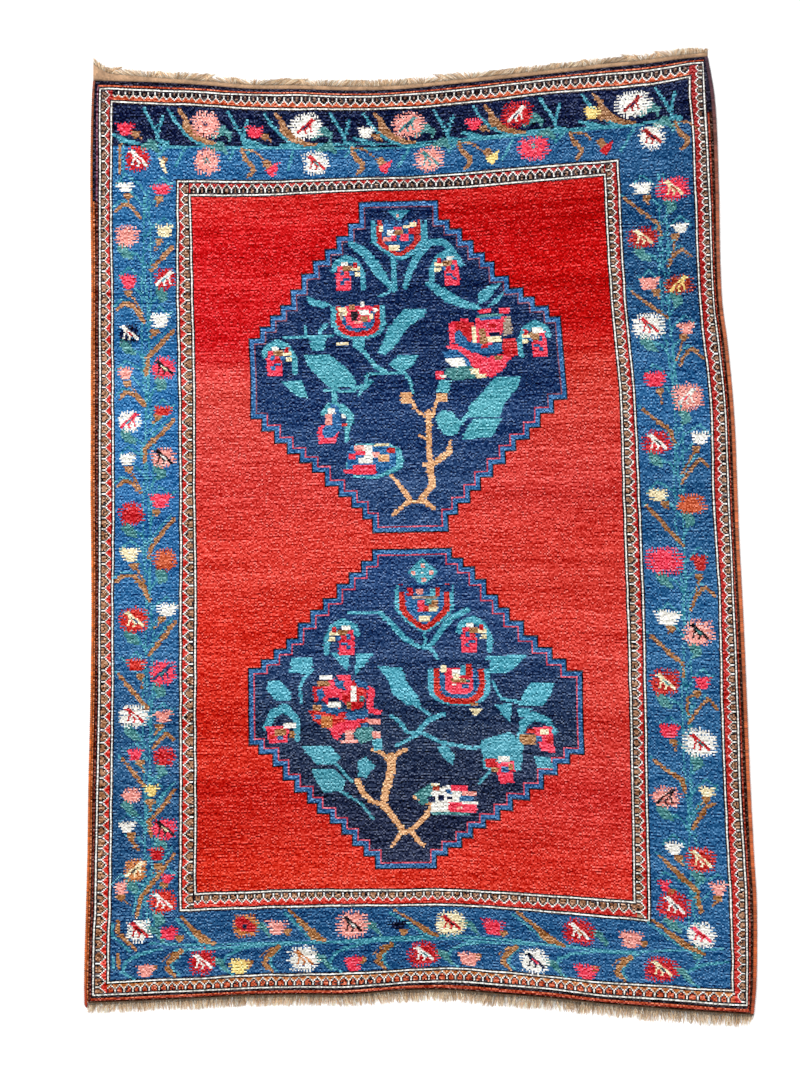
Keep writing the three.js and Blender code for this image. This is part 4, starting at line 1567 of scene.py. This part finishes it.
# The upper web runs out at its left corner: a point that rises over its reach, on a swell that
# falls away to the right
EAR = {"rise": 16.0, "reach": 36.0, "swell": 15.0, "fall": 75.0}
LOWER_START = 8.0                  # the lower web begins this far inside the bound knob
STRANDS = 3300                     # single warp ends at each end of the rug
STRAND_STEPS = 4
STRAND_SIDES = 3
ROOTED = 2.5                       # of a strand lies inside the web
LEVELS = (0.7, 2.5)                # lowest and highest level at which strands leave the web
MIDDLE_LEVEL = 1.6
STRAND_TOP = 4.2                   # no strand rises higher
TAPER = 0.55                       # share of its thickness that a strand loses to its tip
THICKNESSES = (0.8, 1.15)          # thinnest and thickest strand, in shares

# The warp ends: their length past the web and the share that the shortest keeps of it, their
# sideways lean and curl, their thickness, the painted shade from root to tip (darkest at the root,
# lighter than the wool at the tip), and how much longer they are at the right end
UPPER_WARPS = {
    "length": 15.0, "least": 0.35, "lean": 2.6, "curl": 9.0, "thick": 0.85,
    "shade": (0.78, 0.92, 1.04, 1.1), "grow": 0.0,
}
LOWER_WARPS = {
    "length": 22.0, "least": 0.15, "lean": 0.3, "curl": 6.0, "thick": 0.75,
    "shade": (0.52, 0.86, 1.06, 1.14), "grow": 0.32,
}

# Longer ends in the ear, and the worn ends at the right corner: how much is gone and how far in
CORNER_TUFT = {"length": 16.0, "strands": 90, "spread": 40.0}
WORN_CORNER = {"share": 0.6, "fall": 14.0}

# Wool of the webs from the pile outwards: the share of the way, and the red, green and blue there.
# The lower web's dark browns next to the pile are painted shade under the pile's lower end; the
# upper web is darker next to the pile too.
UPPER_WEB_WOOLS = [(0, 146, 116, 92), (0.4, 188, 150, 118), (1, 186, 152, 122)]
LOWER_WEB_WOOLS_AND_SHADE = [(0, 62, 38, 20), (0.5, 96, 68, 44), (1, 150, 120, 88)]

# Colours of the warps, undyed wool. Each strand has one of them. Most are the wool's own tones;
# the palest, (240, 230, 212), is a painted highlight and the darkest, (160, 122, 86), painted shade.
WARP_WOOLS_AND_PAINTED_LIGHT = np.array([
    (226, 208, 182), (214, 188, 158), (204, 174, 140), (196, 164, 128), (184, 150, 114),
    (240, 230, 212), (206, 178, 146), (160, 122, 86),
], float) / 255


def web_reach(x, width, outward, left):
    """How far a web reaches past the pile: its width, and at the upper left the rising ear."""
    past = np.clip(x - left, 0, None)
    point = EAR["rise"] * np.clip(1 - past / EAR["reach"], 0, 1) ** 1.3
    ear = point + EAR["swell"] * np.exp(-past / EAR["fall"])
    return width + (ear if outward > 0 else 0.0)


def web(name, edge, outward, width, left, right, wools):
    """The woven strip past the pile: a flattened band, sunk a little between its wefts. The
    section is walked once round: out over the top and back below."""
    steps = WEB["steps"]
    out = np.concatenate([np.linspace(0, 1, steps), np.linspace(1, 0, steps)[1:-1]])
    top = np.concatenate([np.ones(steps), np.zeros(steps - 2)])
    columns = WEB["columns"]
    x = np.linspace(left, right, columns)[:, None] + 0 * out
    ripple = WEB_FORM["ripple"] * np.cos(math.pi * np.arange(len(out)))[None] * top
    lump = WEB_FORM["lump"] * drift((columns, len(out)), (160, 3)) * top
    rounding = WEB_FORM["rim"] * (np.abs(out - 0.5) > 0.49) * top
    worn = WEB_FORM["worn"] * drift((columns, 1), (70, 1)) * out
    z = WEB["thickness"] * WEB_FORM["flat"] * top + ripple + lump - rounding
    y = edge(x) + outward * (GAP + (web_reach(x, width, outward, left) + worn) * out)
    points = np.stack([x + SHIFT[0], y + SHIFT[1], np.maximum(z, 0)], -1).reshape(-1, 3) * MM
    quads = grid_quads(columns, len(out), wrap=True)
    quads = (quads if outward > 0 else quads[..., ::-1]).reshape(-1, 4)
    shade = 1 + 0.06 * chance.normal(size=(columns - 1, len(out), 1))
    shade = shade + 0.1 * drift((columns - 1, 1), (90, 1))[..., None]
    wool = wool_along((out + np.roll(out, -1)) / 2, wools)
    colours = np.clip(wool[None] * shade, 0, 1).reshape(-1, 3)
    c, r = corner_places(columns, len(out) + 1)
    if outward < 0:
        c, r = c[..., ::-1], r[..., ::-1]
    span = right - left
    maps = {
        "cloth": np.stack([r * span / columns, c * width / steps], -1).reshape(-1, 4, 2),
        "OFBake": folded(c / len(out), r / (columns - 1), 10).reshape(-1, 4, 2),
    }
    ends = [np.arange(len(out))[::-1], len(points) - len(out) + np.arange(len(out))]
    if outward < 0:
        ends = [end[::-1] for end in ends]
    return shape_mesh(name, points, quads, ends, colours, maps)


def strands(name, edge, outward, width, warps, left, right, tuft=None):
    """Loose warp ends: thin three-sided threads from inside the web, each with its own length,
    lean, curl and level, sinking towards the floor and thinning to its tip."""
    count = STRANDS
    root = np.sort(chance.uniform(left + 1, right - 1, count))
    lock = drift((count, 1), (150, 1))[:, 0]
    whole = warps["least"] + (1 - warps["least"]) * chance.uniform(size=count) ** 0.6
    grown = 1 + warps["grow"] * (root - left) / (right - left)
    length = warps["length"] * grown * (whole + 0.08 * np.clip(lock, -1, 1))
    lean = warps["lean"] * drift((count, 1), (40, 1))[:, 0] + 0.20 * chance.normal(size=count)
    length = length * (1 - WORN_CORNER["share"] * np.exp(-(right - root) / WORN_CORNER["fall"]))
    level = chance.uniform(*LEVELS, count)
    if tuft:
        some = tuft["strands"]
        root[:some] = left + 1 + chance.uniform(0, tuft["spread"], some)
        length[:some] = tuft["length"] * chance.uniform(0.35, 0.85, some)
        lean[:some] = -0.12 + 0.1 * chance.normal(size=some)
    lean = np.minimum(lean, (right - 1 - root) / length)
    lean = np.maximum(lean, (left - root) / length)
    t = np.linspace(0, 1, STRAND_STEPS + 1)[None, :, None]
    turn = 2 * math.pi * np.arange(STRAND_SIDES)[None, None] / STRAND_SIDES
    root, length, lean, level = (part[:, None, None] for part in (root, length, lean, level))
    bend = chance.normal(size=(count, 1, 1)) * warps["curl"] * 0.3
    wiggle = chance.normal(size=(count, 1, 1)) * 0.5
    thick = warps["thick"] * (1 - TAPER * t) * chance.uniform(*THICKNESSES, (count, 1, 1))
    middle_x = root + lean * length * t + bend * t * t + wiggle * np.sin(2.6 * math.pi * t)
    out = web_reach(root, width, outward, left) - ROOTED + (length + ROOTED) * t
    middle_z = level * (1 - t) ** 0.7 + thick + 0.5 * np.sin(math.pi * t) * level
    x = middle_x + thick * np.cos(turn)
    y = edge(root) + outward * (GAP + out) + 0 * turn
    z = np.clip(middle_z + thick * np.sin(turn), 0.0, STRAND_TOP)
    points = np.stack(np.broadcast_arrays(x, y, z), -1)
    points = points + np.array([SHIFT[0], SHIFT[1], 0])
    quads = grid_quads(STRAND_STEPS + 1, STRAND_SIDES, wrap=True).reshape(-1, 4)
    if outward > 0:
        quads = quads[:, ::-1]
    per = (STRAND_STEPS + 1) * STRAND_SIDES
    quads = (quads[None] + per * np.arange(count)[:, None, None]).reshape(-1, 4)
    tips = per * np.arange(count)[:, None] + per - STRAND_SIDES + np.arange(STRAND_SIDES)[None]
    roots = per * np.arange(count)[:, None] + np.arange(STRAND_SIDES)[None]
    if outward > 0:
        roots = roots[:, ::-1]
    else:
        tips = tips[:, ::-1]
    pick = chance.integers(0, len(WARP_WOOLS_AND_PAINTED_LIGHT), count)
    # Painted shade by level: strands that leave the web low are darker, high ones lighter. The rest of
    # the tone is the wool's own, at random and in broad streaks
    depth = (level.reshape(-1, 1) - MIDDLE_LEVEL) * 0.12
    tone = 1 + 0.06 * chance.normal(size=(count, 1)) + 0.14 * drift((count, 1), (420, 1)) + depth
    wool = WARP_WOOLS_AND_PAINTED_LIGHT[pick] * tone
    # Painted shade along each strand: darkest at the root by the web, lighter than the wool at the tip
    shadow = np.array(warps["shade"])[None, :, None, None]
    colours = wool[:, None, None] * shadow * np.ones((1, 1, STRAND_SIDES, 1))
    colours = np.clip(colours, 0, 1).reshape(-1, 3)
    c, r = corner_places(STRAND_STEPS + 1, STRAND_SIDES + 1)
    if outward > 0:
        c, r = c[..., ::-1], r[..., ::-1]
    c, r = (part.reshape(-1, 4)[None] for part in (c / STRAND_SIDES, r / STRAND_STEPS))
    cells = math.ceil(math.sqrt(count))
    cell = np.arange(count)[:, None, None]
    u, v = (cell % cells + 0.1 + 0.8 * c) / cells, (cell // cells + 0.1 + 0.8 * r) / cells
    bake = np.stack(np.broadcast_arrays(u, v), -1)
    yarn = np.stack(np.broadcast_arrays(c, r * length / 2), -1)
    maps = {"yarn": yarn.reshape(-1, 4, 2), "OFBake": bake.reshape(-1, 4, 2)}
    return shape_mesh(name, points.reshape(-1, 3) * MM, quads, [*tips, *roots], colours, maps)


# Materials

class Wire:
    """One output of a node. Sums, differences and products of wires and numbers add Math nodes."""

    def __init__(self, finish, socket):
        self.finish, self.socket = finish, socket

    def math(self, operation, first, second=0.0):
        return self.finish.add("ShaderNodeMath", {"operation": operation}, {0: first, 1: second})

    def __add__(self, other):
        return self.math("ADD", self, other)

    def __radd__(self, other):
        return self.math("ADD", other, self)

    def __sub__(self, other):
        return self.math("SUBTRACT", self, other)

    def __rsub__(self, other):
        return self.math("SUBTRACT", other, self)

    def __mul__(self, other):
        return self.math("MULTIPLY", self, other)

    def __rmul__(self, other):
        return self.math("MULTIPLY", other, self)

    def wave(self):
        """The sine of the wire's value times one full turn."""
        return self.math("SINE", self.math("MULTIPLY", self, 2 * math.pi))

    def size(self):
        """The wire's value without its sign."""
        return self.math("ABSOLUTE", self)


# Plain values of hard-spun yarn
YARN = {"Roughness": 0.85, "Sheen_Weight": 0.1, "Sheen_Roughness": 0.5, "Specular_IOR_Level": 0.25}


class Finish:
    """One material and its nodes, with plain values on its shader."""

    def __init__(self, name, **plain):
        self.material = bpy.data.materials.new(name)
        self.material.use_nodes = True
        self.nodes = self.material.node_tree.nodes
        self.shader = self.nodes["Principled BSDF"]
        for socket, value in plain.items():
            self.shader.inputs[socket.replace("_", " ")].default_value = value

    def add(self, kind, settings=None, inputs=None, output=0):
        """A node of a type, with its settings, and with values or wires on its sockets."""
        node = self.nodes.new(kind)
        for key, value in (settings or {}).items():
            setattr(node, key, value)
        for key, value in (inputs or {}).items():
            self.join(value, node.inputs[key])
        return Wire(self, node.outputs[output])

    def join(self, value, socket):
        """A link from a wire, or a plain value on the socket."""
        if isinstance(value, Wire):
            self.material.node_tree.links.new(value.socket, socket)
        else:
            socket.default_value = value

    def feed(self, **inputs):
        """Wires into the shader's own sockets. This ends the material."""
        for name, wire in inputs.items():
            self.join(wire, self.shader.inputs[name.replace("_", " ")])
        return self.material

    def map_axes(self, map_name):
        """The two numbers of a map of the piece, each as a wire."""
        uv = self.add("ShaderNodeUVMap", {"uv_map": map_name})
        apart = self.add("ShaderNodeSeparateXYZ", {}, {0: uv})
        return apart, Wire(self, apart.socket.node.outputs[1])

    def noise(self, scale, detail=2.0, roughness=0.5, stretch=(1, 1, 1)):
        """Noise from 0 to 1 over the piece's own place, scale to the metre."""
        where = self.add("ShaderNodeTexCoord", output="Object")
        where = self.add("ShaderNodeMapping", {}, {"Vector": where, "Scale": stretch})
        grain = {"Vector": where, "Scale": scale, "Detail": detail, "Roughness": roughness}
        return self.add("ShaderNodeTexNoise", {}, grain, output="Fac")

    def wool(self, light, rough, height, depth, strength=0.7):
        """The piece's own dyes times a light of about 1, which paints light and shade on them, a
        roughness, and relief from a height, at most so many metres deep."""
        dye = self.add("ShaderNodeAttribute", {"attribute_name": "dye"}, output="Color")
        colour = self.add("ShaderNodeVectorMath", {"operation": "SCALE"}, {0: dye, "Scale": light})
        relief = {"Height": height, "Distance": depth, "Strength": strength}
        normal = self.add("ShaderNodeBump", {}, relief)
        return self.feed(Base_Color=colour, Roughness=rough, Normal=normal)


def pile_wool():
    """Clipped pile: every knot is a small tuft with fine hairs, and each row of knots shows as a
    low ridge, because the rows lean on one another towards the lower end."""
    finish = Finish("pile_wool", Specular_IOR_Level=0.04)
    across, down = finish.map_axes("knots")
    hairs = finish.noise(1500, 3.0, 0.65, (1, 0.55, 1))
    tufts = finish.noise(330, 2.0, 0.6)
    wear = finish.noise(42, 3.0, 0.6)
    rows = down.wave()
    columns = (across * 0.5 + tufts * 0.2).wave()
    # Painted light and shade that follow the relief: tufts, hairs and row ridges lighter where they
    # stand higher and darker in the hollows; the wear noise darkens broad patches
    light = 0.74 + hairs * 0.26 + tufts * 0.34 + rows * 0.04 - wear * 0.08
    height = rows * 0.20 + columns * 0.06 + tufts * 0.9 + hairs * 0.5
    rough = 0.86 + hairs * 0.12
    return finish.wool(light, rough, height, 0.0016, 0.8)


def back_wool():
    """The back: the same knots as flat beads in rows, with painted shade in the gaps between them."""
    finish = Finish("back_wool", Roughness=0.9, Specular_IOR_Level=0.2)
    across, down = finish.map_axes("knots")
    bead = (across * 0.5).wave().size()
    rows = (down * 0.5).wave().size()
    grain = finish.noise(900, 3.0, 0.6)
    # Painted shade: darker in the gaps between beads, lighter on their crowns
    light = 0.74 + bead * rows * 0.22 + grain * 0.16
    height = bead * rows * 0.8 + grain * 0.3
    rough = 0.84 + grain * 0.12
    return finish.wool(light, rough, height, 0.0009)


def wrapped_wool():
    """Overcasting yarn: wraps side by side round the cord, each of twisted plies."""
    finish = Finish("wrapped_wool", **YARN)
    across, down = finish.map_axes("wraps")
    wrap = (down * 0.5 - across * 0.5).wave().size()
    ply = (down * 2 + across * 9).wave()
    fuzz = finish.noise(1300, 3.0, 0.65)
    # Painted shade in the grooves between wraps and plies, and painted light on their crests, as the
    # relief stands higher there
    light = 0.86 + wrap * 0.20 + ply * 0.04 + fuzz * 0.22
    height = wrap * 0.9 + ply * 0.15 + fuzz * 0.35
    rough = 0.8 + fuzz * 0.14
    return finish.wool(light, rough, height, 0.0008)


def web_wool():
    """The end web: undyed wool in plain weave, warps and wefts crossing every millimetre."""
    finish = Finish("web_wool", Roughness=0.92, Specular_IOR_Level=0.2)
    along, out = finish.map_axes("cloth")
    weave = (along * 0.42).wave() * (out * 0.5).wave()
    slub = finish.noise(700, 3.0, 0.6, (1, 0.3, 1))
    # Painted light and shade with the relief: lighter on the raised crossings and slubs, darker between
    # them
    light = 0.78 + weave * 0.08 + slub * 0.3
    height = weave * 0.6 + slub * 0.7
    rough = 0.84 + slub * 0.12
    return finish.wool(light, rough, height, 0.0009)


def warp_wool():
    """Loose warp ends: hard-spun undyed yarn, with the turns of its twist."""
    finish = Finish("warp_wool", **YARN)
    across, along = finish.map_axes("yarn")
    twist = (along + across).wave()
    fuzz = finish.noise(1600, 3.0, 0.6)
    # Painted light and shade with the relief: lighter on the turns of the twist and the fuzz, darker
    # between them
    light = 0.98 + twist * 0.05 + fuzz * 0.24
    height = twist * 0.5 + fuzz * 0.5
    rough = 0.8 + fuzz * 0.14
    return finish.wool(light, rough, height, 0.0004)


# Putting the rug together

def corner_y(column, row):
    """Height on the floor of one place of the chart."""
    return float(place(column, row)[1])


def flat_size():
    """The rug's knotted body as cut: its width halfway up, and its area over that width."""
    around = ring_around(ROWS + 1, COLUMNS + 1)
    x, y = body_x.ravel()[around] * MM, body_y.ravel()[around] * MM
    area = abs(np.sum(x * np.roll(y, -1) - y * np.roll(x, -1))) / 2
    width = (body_x[ROWS // 2, -1] - body_x[ROWS // 2, 0]) * MM
    return float(width), float(area / width)


def web_span():
    """x of both ends of each web: where the rug's outer sides meet its end."""
    spans = []
    for edge in (upper_end, lower_end):
        level = edge(0)
        spans.append([float(side(edge(side(edge(side(level)))))) for side in (left_side, right_side)])
    return spans


pile = [pile_part(name, first, last) for name, (first, last) in PILE_PARTS.items()]
foundation = foundation_piece()
selvedge_left = selvedge(
    "overcast_left", LEFT_CORD, left_side, 1,
    corner_y(0, 0), corner_y(0, ROWS), LEFT_WOOLS, LEFT_KNOB,
)
selvedge_right = selvedge(
    "overcast_right", RIGHT_CORD, right_side, -1,
    corner_y(COLUMNS, 0), corner_y(COLUMNS, ROWS), RIGHT_WOOLS,
)
(upper_left, upper_right), (lower_left, lower_right) = web_span()
lower_left += LOWER_START
web_upper = web("web_upper", upper_end, 1, WEB["upper"], upper_left, upper_right, UPPER_WEB_WOOLS)
web_lower = web("web_lower", lower_end, -1, WEB["lower"], lower_left, lower_right, LOWER_WEB_WOOLS_AND_SHADE)
warps_upper = strands(
    "warps_upper", upper_end, 1, WEB["upper"], UPPER_WARPS, upper_left, upper_right, CORNER_TUFT,
)
warps_lower = strands("warps_lower", lower_end, -1, WEB["lower"], LOWER_WARPS, lower_left, lower_right)

# Each piece: its material, the slot that it takes its finish from, and the solid it replaces
pile_finish, back_finish, wrap_finish = pile_wool(), back_wool(), wrapped_wool()
web_finish, warp_finish = web_wool(), warp_wool()
FITTED = [(piece, pile_finish, "pile_wool", "pile_rug") for piece in pile] + [
    (foundation, back_finish, "pile_wool", "pile_rug"),
    (selvedge_left, wrap_finish, "selvedge_wool_left", "selvedge_left"),
    (selvedge_right, wrap_finish, "selvedge_wool_right", "selvedge_right"),
    (web_upper, web_finish, "fringe_wool_top", "fringe_top"),
    (warps_upper, warp_finish, "fringe_wool_top", "fringe_top"),
    (web_lower, web_finish, "fringe_wool_bottom", "fringe_bottom"),
    (warps_lower, warp_finish, "fringe_wool_bottom", "fringe_bottom"),
]
for piece, finish, slot, node in FITTED:
    piece.data.materials.append(finish)
    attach(piece, "root")
    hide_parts(node)

flat_size()


# Floor, light and camera

def pale_floor():
    """A plain pale floor, wider than the view."""
    reach = 9.0
    corners = np.array([(-reach, -reach), (-reach, reach), (reach, reach), (reach, -reach)])
    points = np.column_stack([corners, np.full(4, -0.0004)])
    floor = shape_mesh("floor", points, np.array([[0, 3, 2, 1]]))
    paint = Finish("floor_paint", Roughness=0.9, Specular_IOR_Level=0.1)
    tone = paint.noise(2.0, 2.0) * 0.01 + 0.97
    colour = paint.add("ShaderNodeCombineXYZ", {}, {0: tone, 1: tone, 2: tone})
    floor.data.materials.append(paint.feed(Base_Color=colour))


def soft_light(name, watts, spot, size):
    """A square lamp at a place in metres, turned to the middle of the rug."""
    lamp = bpy.data.lights.new(name, "AREA")
    lamp.energy, lamp.size = watts, size
    holder = bpy.data.objects.new(name, lamp)
    holder.location = spot
    away = np.array(spot) / np.linalg.norm(spot)
    holder.rotation_euler = (math.acos(away[2]), 0, math.atan2(away[0], -away[1]))
    bpy.context.scene.collection.objects.link(holder)


PICTURE = {"width": 800, "height": 1067}
CAMERA = {"tilt": math.radians(2), "distance": 3.2, "aim": (-0.047, 0.0)}
METRES_PER_PIXEL = 0.002238        # at the aim, on the floor
SENSOR = 36.0


def set_camera():
    """Above the rug, turned 2 degrees from straight down, with its lower edge nearer."""
    lens = bpy.data.cameras.new("view")
    lens.sensor_fit, lens.sensor_width = "HORIZONTAL", SENSOR
    lens.lens = SENSOR * CAMERA["distance"] / METRES_PER_PIXEL / PICTURE["width"]
    camera = bpy.data.objects.new("view", lens)
    aim_x, aim_y = CAMERA["aim"][0] + SHIFT[0] * MM, CAMERA["aim"][1] + SHIFT[1] * MM
    tilt, distance = CAMERA["tilt"], CAMERA["distance"]
    camera.location = (aim_x, aim_y - distance * math.sin(tilt), distance * math.cos(tilt))
    camera.rotation_euler = (tilt, 0, 0)
    bpy.context.scene.collection.objects.link(camera)
    bpy.context.scene.camera = camera


pale_floor()
soft_light("key", 380, (-3.0, 2.6, 5.2), 2.6)
soft_light("fill", 182, (3.4, -2.8, 5.2), 4.0)
world = bpy.data.worlds.new("studio")
world.use_nodes = True
world.node_tree.nodes["Background"].inputs["Color"].default_value = (1, 1, 1, 1)
world.node_tree.nodes["Background"].inputs["Strength"].default_value = 0.35
bpy.context.scene.world = world
bpy.context.scene.view_settings.view_transform = "Standard"
set_camera()
